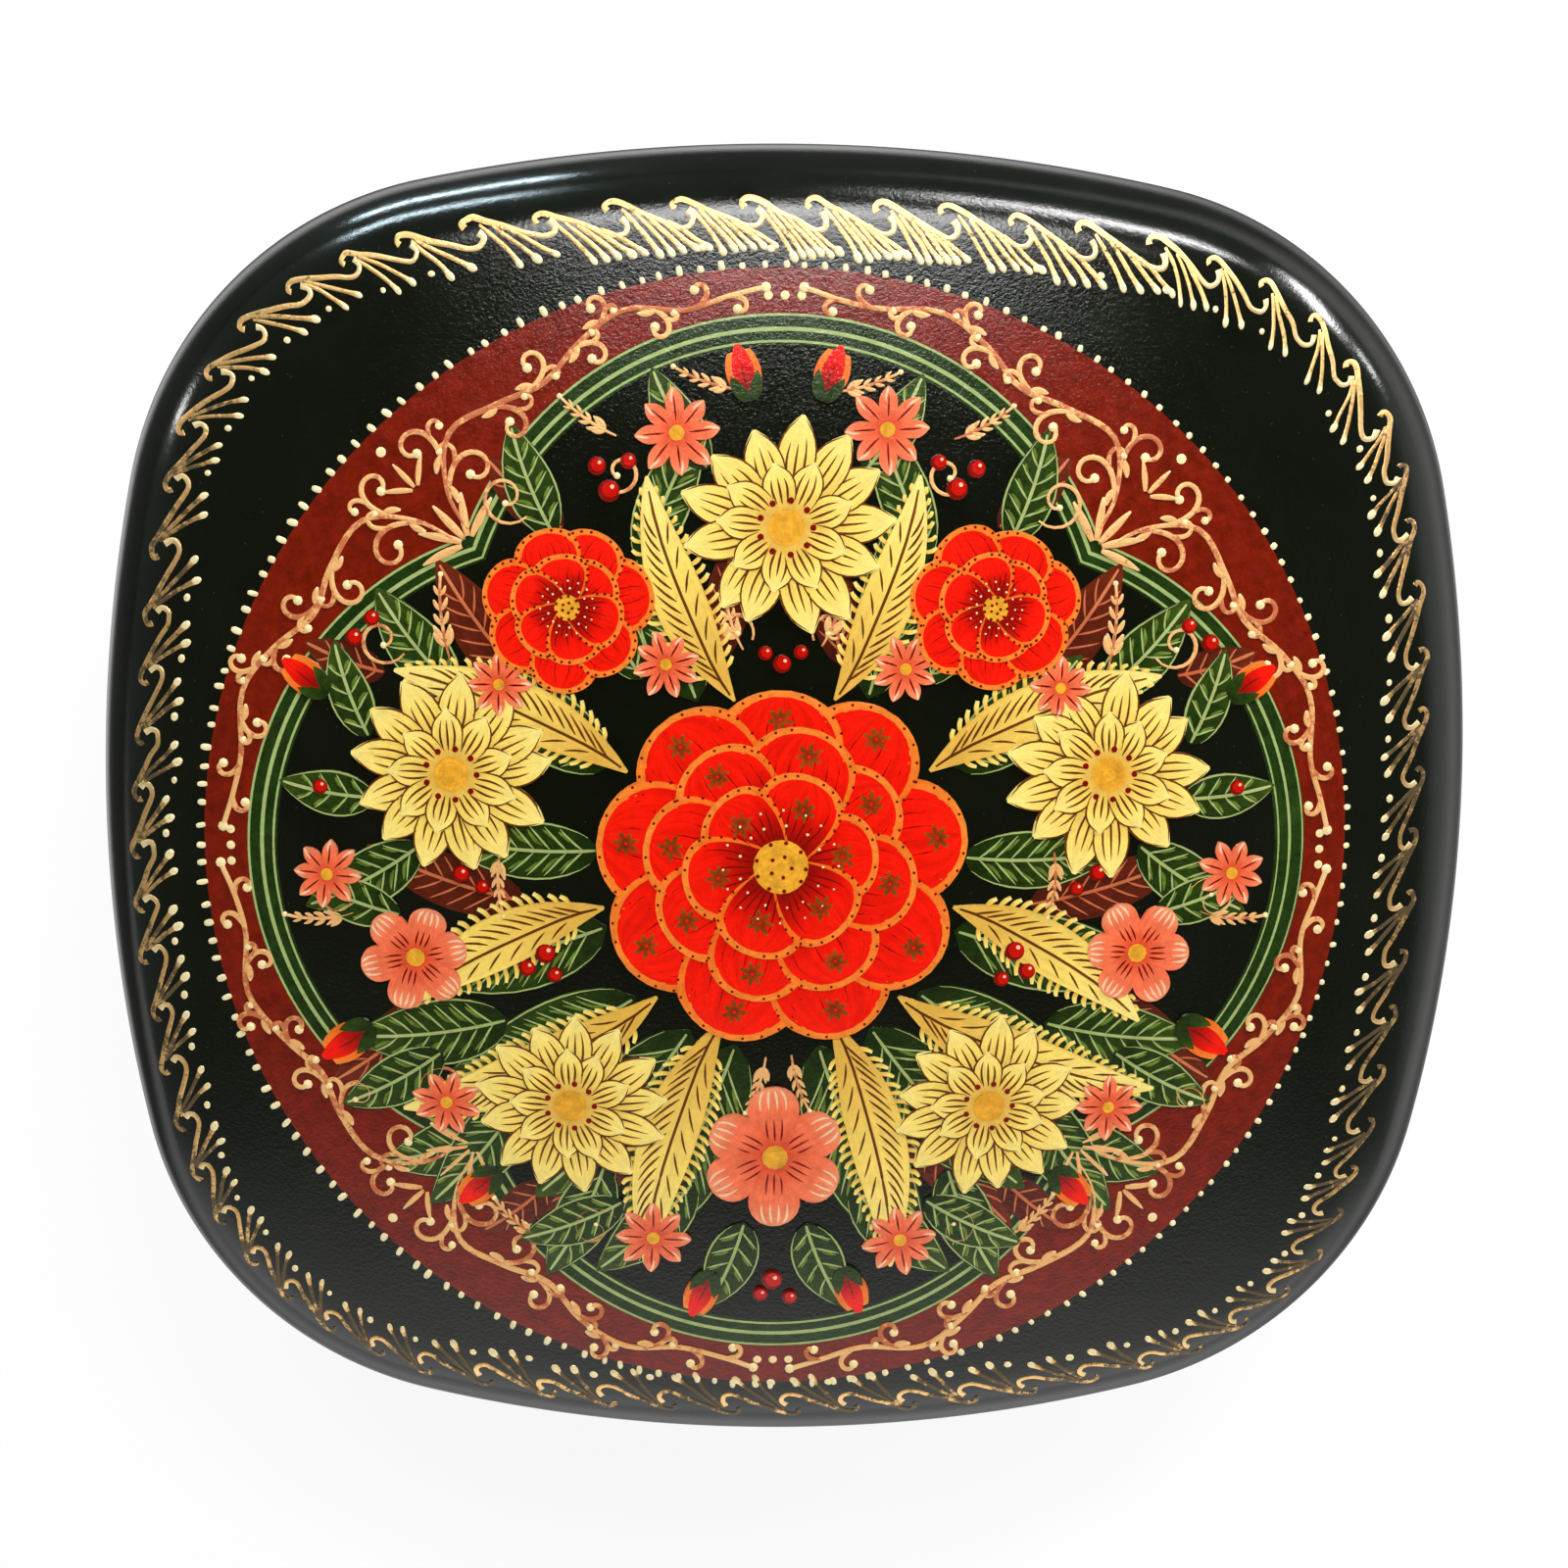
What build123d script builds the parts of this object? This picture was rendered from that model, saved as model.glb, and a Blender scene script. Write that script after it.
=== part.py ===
from build123d import *
import os
from math import atan2, degrees, hypot, radians, sqrt, tan

os.makedirs("parts", exist_ok=True)

# A hinged papier-mache box with a bowed, nearly square plan, a domed lid and a low body.
# Millimetres. +Z is up, +Y is towards the hinge, and the origin is the centre of the
# plan on the surface that the box stands on.

# Plan outline: four bowed sides joined by four rounder corners, the same on body and lid.
box_width = 76.0
box_depth = 73.0
side_bow_radius = 96.0
front_bow_radius = 100.0
corner_radius = 20.5

# Body: a wound tube, a base board let into it, and a liner that stands up as the lid's lip.
body_height = 20.0
wall_thickness = 3.2
foot_edge_radius = 1.8
base_recess = 0.6
base_thickness = 3.0
liner_thickness = 1.2
lip_height = 1.8
lip_bevel = 0.4
glue_gap = 0.05

# Lid: a wound rim ring under a pressed dome that rolls over into it.
seam_gap = 0.2
seam_edge_radius = 0.35
lip_clearance = 0.3
lid_rim_height = 4.0
dome_radius = 150.0
dome_thickness = 3.0
roll_radius = 5.0
inner_roll_radius = 2.2
roll_margin = 0.4

# Hinge: five knuckles on a wire pin, with leaves let into the edges of the wall and rim.
hinge_length = 22.0
knuckle_count = 5
knuckle_gap = 0.15
knuckle_radius = 1.1
barrel_cover = 0.1
barrel_clearance = 0.15
pin_radius = 0.6
pin_clearance = 0.05
leaf_thickness = 0.5
leaf_clearance = 0.05
leaf_end_gap = 0.4
body_leaf_depth = 5.2
lid_opening = 95.0
bevel_spare = 3.5

# Tacks: headless square brads driven through the wall and the leaf from inside.
body_tack_count = 3
lid_tack_count = 2
tack_side = 0.8
tack_clearance = 0.02
tack_cover = 0.75
tack_spread = 7.0
body_tack_depth = 3.6

# How far a cutting solid runs past what it cuts, and how close two heights are to be level.
overrun = 1.0
level_tolerance = 0.01

half_width = box_width / 2
half_depth = box_depth / 2
seam_z = body_height
lid_bottom_z = seam_z + seam_gap
joint_z = lid_bottom_z + lid_rim_height
rim_thickness = wall_thickness - lip_clearance
base_top_z = base_recess + base_thickness
lip_top_z = seam_z + lip_height

# Each bow is centred this far past the plan's centre, on the far side from its wall.
side_back = side_bow_radius - half_width
front_back = front_bow_radius - half_depth


def corner_centre():
    """Centre of the corner arc at +X, +Y, which touches a side's bow and the back's bow."""
    side_reach = side_bow_radius - corner_radius
    back_reach = front_bow_radius - corner_radius
    span = hypot(side_back, front_back)
    along = (span**2 + side_reach**2 - back_reach**2) / (2 * span)
    across = sqrt(side_reach**2 - along**2)
    x = (side_back * along + front_back * across) / span - side_back
    y = (side_back * across - front_back * along) / span
    return x, y


def outline(inset):
    """The plan outline as a face, moved inwards by inset all round."""
    x, y = corner_centre()
    side_half = degrees(atan2(y, x + side_back))
    back_half = degrees(atan2(x, y + front_back))
    bend = 90 - side_half - back_half
    side = CenterArc((-side_back, 0), side_bow_radius - inset, -side_half, 2 * side_half)
    right = CenterArc((x, y), corner_radius - inset, side_half, bend)
    back = CenterArc((0, -front_back), front_bow_radius - inset, 90 - back_half, 2 * back_half)
    left = CenterArc((-x, y), corner_radius - inset, 90 + back_half, bend)
    edges = [side, right, back, left]
    return make_face(edges + [Rotation(0, 0, 180) * edge for edge in edges])


def prism(inset, low, high):
    """A solid with the plan outline moved inwards by inset, from height low to high."""
    return Pos(0, 0, low) * extrude(outline(inset), amount=high - low)


def level_edges(solid, height):
    """The edges of a solid that lie level at a height."""
    found = []
    for edge in solid.edges():
        box = edge.bounding_box()
        if max(abs(box.min.Z - height), abs(box.max.Z - height)) < level_tolerance:
            found.append(edge)
    return found


def cut(solid, tools):
    """A solid with each tool cut away in turn."""
    for tool in tools:
        solid -= tool
    return solid


def dome_height():
    """Height of the dome's crown above the joint, so that the roll's lowest touch clears it."""
    corner_reach = hypot(*corner_centre()) + corner_radius
    edge_drop = dome_radius - sqrt(dome_radius**2 - corner_reach**2)
    edge_slope = atan2(corner_reach, dome_radius - edge_drop)
    roll_touch = roll_radius * tan((radians(90) - edge_slope) / 2)
    return roll_margin + roll_touch + edge_drop


crown_z = joint_z + dome_height()

# The hinge axis lies at mid seam, far enough in for the whole barrel to stay inside the bow.
hinge_sagitta = front_bow_radius - sqrt(front_bow_radius**2 - (hinge_length / 2) ** 2)
axis_inset = knuckle_radius + barrel_cover + hinge_sagitta
axis_y = half_depth - axis_inset
axis_z = seam_z + seam_gap / 2
lid_leaf_depth = lid_rim_height - leaf_end_gap
body_tack_z = seam_z - body_tack_depth
lid_tack_z = lid_bottom_z + (lip_height + lid_leaf_depth) / 2


def domed(inset, low, crown, sphere_radius, edge_radius):
    """A closed lid shape: the outline from height low up, capped by a sphere and rolled over."""
    block = prism(inset, low, crown + overrun)
    ball = Pos(0, 0, crown - sphere_radius) * Sphere(sphere_radius)
    capped = block & ball
    top_edges = [e for e in capped.edges() if e.bounding_box().min.Z > low + overrun]
    return fillet(top_edges, edge_radius)


def lid_outside():
    """The lid's outer skin as a solid block, with a small round at the seam."""
    block = domed(0, lid_bottom_z, crown_z, dome_radius, roll_radius)
    return fillet(level_edges(block, lid_bottom_z), seam_edge_radius)


def lid_inside():
    """The hollow under the lid, run out below the seam."""
    hollow_top = crown_z - dome_thickness
    hollow_low = lid_bottom_z - overrun
    return domed(rim_thickness, hollow_low, hollow_top, dome_radius - dome_thickness,
                 inner_roll_radius)


def slab(low, high):
    """A plain block wider than the box, used to split the lid at the joint."""
    middle = Pos(0, 0, (low + high) / 2)
    return middle * Box(box_width + 2 * overrun, box_depth + 2 * overrun, high - low)


def along_axis(radius, length):
    """A cylinder on the hinge axis."""
    return Pos(0, axis_y, axis_z) * Rotation(0, 90, 0) * Cylinder(radius, length)


def barrel_channel():
    """Room for the hinge barrel, cut from both edges of the seam."""
    return along_axis(knuckle_radius + barrel_clearance, hinge_length + 2 * barrel_clearance)


def leaf_slot(depth, side):
    """Slot in the middle of the wall for a leaf: side is -1 in the body and 1 in the lid."""
    reach = depth + leaf_clearance
    length = hinge_length + 2 * leaf_clearance
    width = leaf_thickness + 2 * leaf_clearance
    return Pos(0, axis_y, axis_z + side * reach / 2) * Box(length, width, reach)


def back_bevel(side):
    """Wedge outside the hinge axis that lets the lid swing back: side -1 body, 1 lid."""
    slope = radians(lid_opening / 2 + bevel_spare)
    reach = axis_inset + overrun
    far = axis_y + reach
    rise = side * reach * tan(slope)
    wedge = Polyline((0, axis_y, axis_z), (0, far, axis_z), (0, far, axis_z + rise), close=True)
    half_length = sqrt(front_bow_radius**2 - (front_bow_radius - axis_inset) ** 2) + overrun
    return extrude(make_face(wedge), amount=half_length, both=True, dir=(1, 0, 0))


def tack_places(count):
    """Places of the tacks along the hinge."""
    step = 2 * tack_spread / (count - 1)
    return [-tack_spread + step * n for n in range(count)]


def tack_bars(count, height, clearance):
    """Square bars across the wall from inside the box, stopping short of its outer face."""
    side = tack_side + 2 * clearance
    length = wall_thickness + overrun
    middle = half_depth - tack_cover - hinge_sagitta - length / 2
    return [Pos(x, middle, height) * Box(side, length, side) for x in tack_places(count)]


def tacks(count, height, inset):
    """Headless brads, filed flush with the inner face at inset."""
    inner = prism(inset, height - overrun, height + overrun)
    return [bar - inner for bar in tack_bars(count, height, 0)]


def knuckle_x(number):
    """Centre of a knuckle along the hinge."""
    pitch = hinge_length / knuckle_count
    return -hinge_length / 2 + pitch * (number + 1 / 2)


def hinge_leaf(own, depth, side, tack_count, tack_z):
    """A leaf with its own knuckles, notched for the other leaf's."""
    pitch = hinge_length / knuckle_count
    notch = 2 * (knuckle_radius + barrel_clearance)
    plate = Pos(0, axis_y, axis_z + side * depth / 2) * Box(hinge_length, leaf_thickness, depth)
    for number in range(knuckle_count):
        if number in own:
            plate += Pos(knuckle_x(number), 0, 0) * along_axis(knuckle_radius, pitch - knuckle_gap)
        else:
            gap = Box(pitch + knuckle_gap, notch, notch)
            plate -= Pos(knuckle_x(number), axis_y, axis_z) * gap
    plate -= along_axis(pin_radius + pin_clearance, hinge_length + 2 * overrun)
    return cut(plate, tack_bars(tack_count, tack_z, tack_clearance))


def write(name, shape):
    """Write a node and print its size."""
    pieces = shape if isinstance(shape, list) else [shape]
    whole = Compound([solid for piece in pieces for solid in piece.solids()])
    export_step(whole, f"parts/{name}.step")
    size = whole.bounding_box().size
    print(f"{name}: {len(whole.solids())} solids, {size.X:.2f} x {size.Y:.2f} x {size.Z:.2f}")


# Body
liner_inset = wall_thickness + glue_gap
wall = prism(0, 0, seam_z)
wall = fillet(level_edges(wall, 0), foot_edge_radius)
wall = fillet(level_edges(wall, seam_z), seam_edge_radius)
wall -= prism(wall_thickness, -overrun, seam_z + overrun)
wall = cut(wall, tack_bars(body_tack_count, body_tack_z, tack_clearance))
wall = cut(wall, [leaf_slot(body_leaf_depth, -1), barrel_channel(), back_bevel(-1)])
write("body_wall", wall)

base = prism(liner_inset, base_recess, base_top_z)
write("base_board", base)

liner = prism(liner_inset, base_top_z, lip_top_z)
liner = chamfer(level_edges(liner, lip_top_z), lip_bevel)
liner -= prism(liner_inset + liner_thickness, base_top_z - overrun, lip_top_z + overrun)
write("liner", liner)

# Lid
shell = lid_outside() - lid_inside()
rim = shell & slab(lid_bottom_z - overrun, joint_z)
rim = cut(rim, tack_bars(lid_tack_count, lid_tack_z, tack_clearance))
rim = cut(rim, [leaf_slot(lid_leaf_depth, 1), barrel_channel(), back_bevel(1)])
write("lid_rim", rim)
write("lid_dome", shell & slab(joint_z, crown_z + overrun))

# Hinge
body_knuckles = range(0, knuckle_count, 2)
lid_knuckles = range(1, knuckle_count, 2)
body_leaf = hinge_leaf(body_knuckles, body_leaf_depth, -1, body_tack_count, body_tack_z)
lid_leaf = hinge_leaf(lid_knuckles, lid_leaf_depth, 1, lid_tack_count, lid_tack_z)
write("body_hinge_leaf", body_leaf)
write("lid_hinge_leaf", lid_leaf)
write("hinge_pin", along_axis(pin_radius, hinge_length))
write("body_tacks", tacks(body_tack_count, body_tack_z, wall_thickness))
write("lid_tacks", tacks(lid_tack_count, lid_tack_z, rim_thickness))

print(f"crown at {crown_z:.3f}, hinge axis at y {axis_y:.4f}, z {axis_z:.3f}")
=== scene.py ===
import math
import random

import bmesh
import bpy
from mathutils import Matrix, Quaternion, Vector


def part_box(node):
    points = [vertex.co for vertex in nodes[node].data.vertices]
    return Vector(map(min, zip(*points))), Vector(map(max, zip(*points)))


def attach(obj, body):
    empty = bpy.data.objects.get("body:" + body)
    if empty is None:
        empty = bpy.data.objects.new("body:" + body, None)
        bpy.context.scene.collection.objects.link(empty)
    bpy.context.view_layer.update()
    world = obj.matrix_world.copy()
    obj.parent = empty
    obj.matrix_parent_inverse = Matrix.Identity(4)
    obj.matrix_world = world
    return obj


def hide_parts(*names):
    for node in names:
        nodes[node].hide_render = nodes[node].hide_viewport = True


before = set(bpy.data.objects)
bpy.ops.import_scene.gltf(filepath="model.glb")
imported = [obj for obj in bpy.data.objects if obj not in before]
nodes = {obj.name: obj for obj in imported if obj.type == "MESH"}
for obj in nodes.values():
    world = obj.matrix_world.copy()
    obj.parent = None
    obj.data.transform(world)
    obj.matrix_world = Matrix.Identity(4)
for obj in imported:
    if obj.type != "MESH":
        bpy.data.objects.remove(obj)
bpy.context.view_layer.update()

mm = 0.001

# Plan and lid of the box in millimetres, the same values as its CAD.
lidShape = {
    "halfWidth": 38.0,
    "halfDepth": 36.5,
    "sideBow": 96.0,
    "frontBow": 100.0,
    "corner": 20.5,
    "jointHeight": 24.2,
    "crownHeight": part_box("lid_dome")[1].z / mm,
    "domeRadius": 150.0,
    "thickness": 3.0,
    "rimThickness": 2.9,
    "roll": 5.0,
    "innerRoll": 2.2,
    # fineness of the mesh, round the lid and then up the wall, over the roll and over the dome
    "columns": 384,
    "wallSteps": 3,
    "rollSteps": 14,
    "domeSteps": 27,
    "hardEdge": 40,
}
domeCentre = lidShape["crownHeight"] - lidShape["domeRadius"]
sideBack = lidShape["sideBow"] - lidShape["halfWidth"]
frontBack = lidShape["frontBow"] - lidShape["halfDepth"]


def cornerCentre():
    sideReach = lidShape["sideBow"] - lidShape["corner"]
    backReach = lidShape["frontBow"] - lidShape["corner"]
    span = math.hypot(sideBack, frontBack)
    along = (span ** 2 + sideReach ** 2 - backReach ** 2) / (2 * span)
    across = math.sqrt(sideReach ** 2 - along ** 2)
    x = (sideBack * along + frontBack * across) / span - sideBack
    y = (sideBack * across - frontBack * along) / span
    return x, y


def outlineArcs():
    # clockwise from the middle of the hinge side: centre, radius, first and last angle
    x, y = cornerCentre()
    side = math.atan2(y, x + sideBack)
    back = math.atan2(y + frontBack, x)
    pi = math.pi
    bow, sideBow, corner = lidShape["frontBow"], lidShape["sideBow"], lidShape["corner"]
    return [
        ((0, -frontBack), bow, pi / 2, back),
        ((x, y), corner, back, side),
        ((-sideBack, 0), sideBow, side, -side),
        ((x, -y), corner, -side, -back),
        ((0, frontBack), bow, -back, back - pi),
        ((-x, -y), corner, back - pi, side - pi),
        ((sideBack, 0), sideBow, side - pi, -side - pi),
        ((-x, y), corner, -side - pi, -back - pi),
        ((0, -frontBack), bow, -back - pi, -1.5 * pi),
    ]


arcs = outlineArcs()
arcLengths = [radius * (first - last) for centre, radius, first, last in arcs]
perimeter = sum(arcLengths)


def outlineAt(s):
    # place on the plan outline, s millimetres round it, and the outward direction there
    s = s % perimeter
    for (centre, radius, first, last), length in zip(arcs, arcLengths):
        if s <= length:
            angle = first + (last - first) * s / length
            nx, ny = math.cos(angle), math.sin(angle)
            return centre[0] + radius * nx, centre[1] + radius * ny, nx, ny
        s -= length
    return 0.0, lidShape["halfDepth"], 0.0, 1.0


def rollAt(s, inset, sphereRadius, roll):
    # centre of the rolled edge's arc, the way outwards, and the direction in which it meets the dome
    x, y, nx, ny = outlineAt(s)
    back = inset + roll
    cx, cy = x - back * nx, y - back * ny
    reach = sphereRadius - roll
    cz = domeCentre + math.sqrt(reach ** 2 - cx ** 2 - cy ** 2)
    meet = (cx / reach, cy / reach, (cz - domeCentre) / reach)
    return (cx, cy, cz), (nx, ny), meet


def onRoll(centre, out, meet, roll, turn):
    # point and outward direction on the rolled edge; turn is 0 at the wall and 1 at the dome
    lean = meet[0] * out[0] + meet[1] * out[1]
    whole = math.acos(lean)
    side = math.sqrt(1 - lean ** 2)
    up = ((meet[0] - lean * out[0]) / side, (meet[1] - lean * out[1]) / side, meet[2] / side)
    c, d = math.cos(turn * whole), math.sin(turn * whole)
    normal = (out[0] * c + up[0] * d, out[1] * c + up[1] * d, up[2] * d)
    return tuple(p + roll * q for p, q in zip(centre, normal)), normal


def domeAt(x, y):
    radius = lidShape["domeRadius"]
    rise = math.sqrt(radius ** 2 - x * x - y * y)
    return (x, y, domeCentre + rise), (x / radius, y / radius, rise / radius)


def lidAt(s, inset):
    # point and outward direction on the lid, s round the outline and inset in from it in plan
    roll, radius = lidShape["roll"], lidShape["domeRadius"]
    centre, out, meet = rollAt(s, 0, radius, roll)
    lean = meet[0] * out[0] + meet[1] * out[1]
    touch = roll * (1 - lean)
    if inset < touch:
        return onRoll(centre, out, meet, roll, math.acos(1 - inset / roll) / math.acos(lean))
    x = centre[0] + roll * meet[0] - out[0] * (inset - touch)
    y = centre[1] + roll * meet[1] - out[1] * (inset - touch)
    return domeAt(x, y)


# Meshes

def meshObject(name, points, faces, body, material, slot, hardEdge=None):
    mesh = bpy.data.meshes.new(name)
    mesh.from_pydata([(x * mm, y * mm, z * mm) for x, y, z in points], [], faces)
    work = bmesh.new()
    work.from_mesh(mesh)
    bmesh.ops.recalc_face_normals(work, faces=work.faces)
    work.to_mesh(mesh)
    work.free()
    mesh.shade_smooth()
    if hardEdge:
        mesh.set_sharp_from_angle(angle=math.radians(hardEdge))
    piece = bpy.data.objects.new(name, mesh)
    bpy.context.scene.collection.objects.link(piece)
    mesh.materials.append(material)
    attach(piece, body)
    return piece


def faceColumn(s, inset, thickness, roll):
    # points up one face of the lid, from the joint over the roll to near the crown
    low = lidShape["jointHeight"]
    wallSteps, rollSteps, domeSteps = lidShape["wallSteps"], lidShape["rollSteps"], lidShape["domeSteps"]
    radius = lidShape["domeRadius"] - thickness
    centre, out, meet = rollAt(s, inset, radius, roll)
    wallX, wallY = centre[0] + roll * out[0], centre[1] + roll * out[1]
    column = []
    for step in range(wallSteps):
        column.append((wallX, wallY, low + (centre[2] - low) * step / wallSteps))
    for step in range(rollSteps + 1):
        column.append(onRoll(centre, out, meet, roll, step / rollSteps)[0])
    x, y = column[-1][:2]
    for step in range(1, domeSteps):
        k = 1 - step / domeSteps
        px, py = x * k, y * k
        column.append((px, py, domeCentre + math.sqrt(radius ** 2 - px ** 2 - py ** 2)))
    return column


def addShell(points, faces, columns, crown):
    # faces between neighbouring columns of points, and a fan of them round the crown
    start, rows, count = len(points), len(columns[0]), len(columns)
    for column in columns:
        points.extend(column)
    for i in range(count):
        a, b = start + i * rows, start + ((i + 1) % count) * rows
        for j in range(rows - 1):
            faces.append((a + j, a + j + 1, b + j + 1, b + j))
    top = len(points)
    points.append((0, 0, crown))
    for i in range(count):
        faces.append((start + i * rows + rows - 1, top, start + ((i + 1) % count) * rows + rows - 1))
    return start


def buildDome(material, liningMaterial):
    print("Building the lid dome")
    count = lidShape["columns"]
    places = [perimeter * n / count for n in range(count)]
    outer = [faceColumn(s, 0, 0, lidShape["roll"]) for s in places]
    lining = (lidShape["rimThickness"], lidShape["thickness"], lidShape["innerRoll"])
    inner = [faceColumn(s, *lining) for s in places]
    points, faces = [], []
    addShell(points, faces, outer, lidShape["crownHeight"])
    firstLining = len(faces)
    start = addShell(points, faces, inner, lidShape["crownHeight"] - lidShape["thickness"])
    lastLining = len(faces)
    rows = len(outer[0])
    for i in range(count):
        k = (i + 1) % count
        faces.append((i * rows, k * rows, start + k * rows, start + i * rows))
    dome = meshObject("lidDome", points, faces, "lid", material, "lacquer_black", lidShape["hardEdge"])
    dome.data.materials.append(liningMaterial)
    for number, face in enumerate(dome.data.polygons):
        face.material_index = 1 if firstLining <= number < lastLining else 0
    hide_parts("lid_dome")


# Paint, laid as thin closed strokes and patches on the lid

paintSink = 0.03
# Across a stroke: (place, height as a share of the whole), where -1 is an edge sunk into the lacquer.
strokeSection = ((-1, -1), (-0.8, 0.75), (0, 1), (0.8, 0.75), (1, -1))
patchSection = (
    (-1, -1), (-0.95, 0.7), (-0.75, 1), (-0.38, 1), (0, 1), (0.38, 1), (0.75, 1), (0.95, 0.7), (1, -1),
)
# The same for the rings of points of a drop, by their size.
dotRings = ((1.0, -1), (0.88, 0.5), (0.5, 0.92))
beadFrom = 0.78
fineTaper = ((0, 0.3), (0.35, 1), (0.7, 0.8), (1, 0.15))
evenTaper = ((0, 0.7), (0.1, 1), (0.9, 1), (1, 0.6))
combTaper = ((0, 0.7), (0.5, 1), (1, 0.75))


def newPaint(rounding):
    # rounding is how far below its top the edge of a stroke may lie
    paint = {key: [] for key in ("points", "faces", "skin", "along", "across", "tone", "drop")}
    paint["rounding"] = rounding
    return paint


def addPoint(paint, surface, a, b, height, share, along, across, tone, drop):
    point, normal = surface(a, b)
    lift = -paintSink if share < 0 else height - (1 - share) * min(height, paint["rounding"])
    paint["points"].append(tuple(p + lift * q for p, q in zip(point, normal)))
    paint["skin"].append(normal)
    for key, value in (("along", along), ("across", across), ("tone", tone), ("drop", drop)):
        paint[key].append(value)


def addPatch(paint, surface, place, steps, height, tone, section=patchSection, bead=0.0, rounded=False,
             wearAndShade=0.0, swell=beadFrom):
    # a closed skin over place(along, across); it is worn away and darkened by its wear value, which on the
    # border also paints shade, and from swell on it thickens into a bead
    start = len(paint["points"])
    width = len(section)
    for step in range(steps + 1):
        f = step / steps
        if rounded:
            f = math.sin(f * math.pi / 2)
        drop = (bead + wearAndShade) * max(0.0, (f - swell) / (1 - swell)) - wearAndShade
        for e, share in section:
            addPoint(paint, surface, *place(f, e), height, share, f, e, tone, drop)
    for step in range(steps):
        a, b = start + step * width, start + (step + 1) * width
        for j in range(width):
            k = (j + 1) % width
            paint["faces"].append((a + j, a + k, b + k, b + j))
    last = start + steps * width
    paint["faces"].append(tuple(range(start, start + width)))
    paint["faces"].append(tuple(range(last, last + width)))


def between(pairs, f):
    # value at f along a list of (place, value) pairs
    for (f0, v0), (f1, v1) in zip(pairs, pairs[1:]):
        if f <= f1:
            k = (f - f0) / (f1 - f0)
            k = k * k * (3 - 2 * k)
            return v0 + (v1 - v0) * k
    return pairs[-1][1]


def smoothPath(knots, perSpan):
    # points of a smooth curve through the knots
    path = []
    last = len(knots) - 1
    for i in range(last):
        p0 = knots[max(i - 1, 0)]
        p1, p2 = knots[i], knots[i + 1]
        p3 = knots[min(i + 2, last)]
        for step in range(perSpan):
            t = step / perSpan
            path.append(tuple(
                0.5 * (2 * b + (c - a) * t + (2 * a - 5 * b + 4 * c - d) * t * t
                       + (3 * b - a - 3 * c + d) * t ** 3)
                for a, b, c, d in zip(p0, p1, p2, p3)))
    path.append(tuple(knots[last]))
    return path


def addStroke(paint, surface, path, width, height, tone, taper, bead=0.0, wearAndShade=0.0, swell=beadFrom):
    # a brush stroke along a path of at least two points; width is half its full breadth
    count = len(path) - 1

    def place(f, e):
        i = min(int(f * count + 0.5), count)
        before, after = path[max(i - 1, 0)], path[min(i + 1, count)]
        dx, dy = after[0] - before[0], after[1] - before[1]
        length = math.hypot(dx, dy) or 1
        half = width * between(taper, f) * e
        return path[i][0] - dy / length * half, path[i][1] + dx / length * half

    addPatch(paint, surface, place, count, height, tone, strokeSection, bead, wearAndShade=wearAndShade, swell=swell)


def addDot(paint, surface, x, y, radius, height, tone, sides=10, drop=1.0, pull=(0.0, 0.0)):
    # a raised round drop of paint, drawn out along pull
    start = len(paint["points"])
    for size, share in dotRings:
        for n in range(sides):
            angle = 2 * math.pi * n / sides
            a, b = radius * size * math.cos(angle), radius * size * math.sin(angle)
            stretch = a * pull[0] + b * pull[1]
            a, b = x + a + stretch * pull[0], y + b + stretch * pull[1]
            addPoint(paint, surface, a, b, height, share, 0.5, size, tone, drop)
    addPoint(paint, surface, x, y, height, 1, 0.5, 0.0, tone, drop)
    for r in range(len(dotRings) - 1):
        for n in range(sides):
            k = (n + 1) % sides
            a, b = start + r * sides, start + (r + 1) * sides
            paint["faces"].append((a + n, a + k, b + k, b + n))
    inner = start + (len(dotRings) - 1) * sides
    top = start + len(dotRings) * sides
    for n in range(sides):
        paint["faces"].append((inner + n, inner + (n + 1) % sides, top))
    paint["faces"].append(tuple(start + n for n in range(sides)))


def finishPaint(paint, name, material, slot, relief=0.0):
    # relief is how much of the stroke's own roundness shows, over the smoothness of the skin
    piece = meshObject(name, paint["points"], paint["faces"], "lid", material, slot)
    mixed = []
    for own, skin, drop in zip(piece.data.vertex_normals, paint["skin"], paint["drop"]):
        share = min(1.0, relief * (1 + max(0, drop)))
        mixed.append((own.vector * share + Vector(skin) * (1 - share)).normalized())
    piece.data.normals_split_custom_set_from_vertices(mixed)
    for key in ("along", "across", "tone", "drop"):
        layer = piece.data.attributes.new(key, "FLOAT", "POINT")
        layer.data.foreach_set("value", paint[key])
    print(f"  {name}: {len(paint['faces'])} faces")


# Shader pieces

def addNode(tree, kind, **values):
    node = tree.nodes.new(kind)
    for key, value in values.items():
        if hasattr(node, key):
            setattr(node, key, value)
        else:
            node.inputs[key].default_value = value
    return node


def srgb(r, g, b):
    # a colour given as 0-255 screen values
    linear = [c / 255 / 12.92 if c <= 10 else ((c / 255 + 0.055) / 1.055) ** 2.4 for c in (r, g, b)]
    return (*linear, 1.0)


def feed(tree, socket, value):
    # gives a socket a value, or links another socket to it
    if hasattr(value, "links"):
        tree.links.new(value, socket)
    else:
        socket.default_value = value


def combine(tree, operation, *values):
    node = addNode(tree, "ShaderNodeMath", operation=operation)
    for socket, value in zip(node.inputs, values):
        feed(tree, socket, value)
    return node.outputs[0]


def mixColour(tree, share, first, second):
    mix = addNode(tree, "ShaderNodeMix", data_type="RGBA")
    for number, value in ((0, share), (6, first), (7, second)):
        feed(tree, mix.inputs[number], value)
    return mix.outputs[2]


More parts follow.
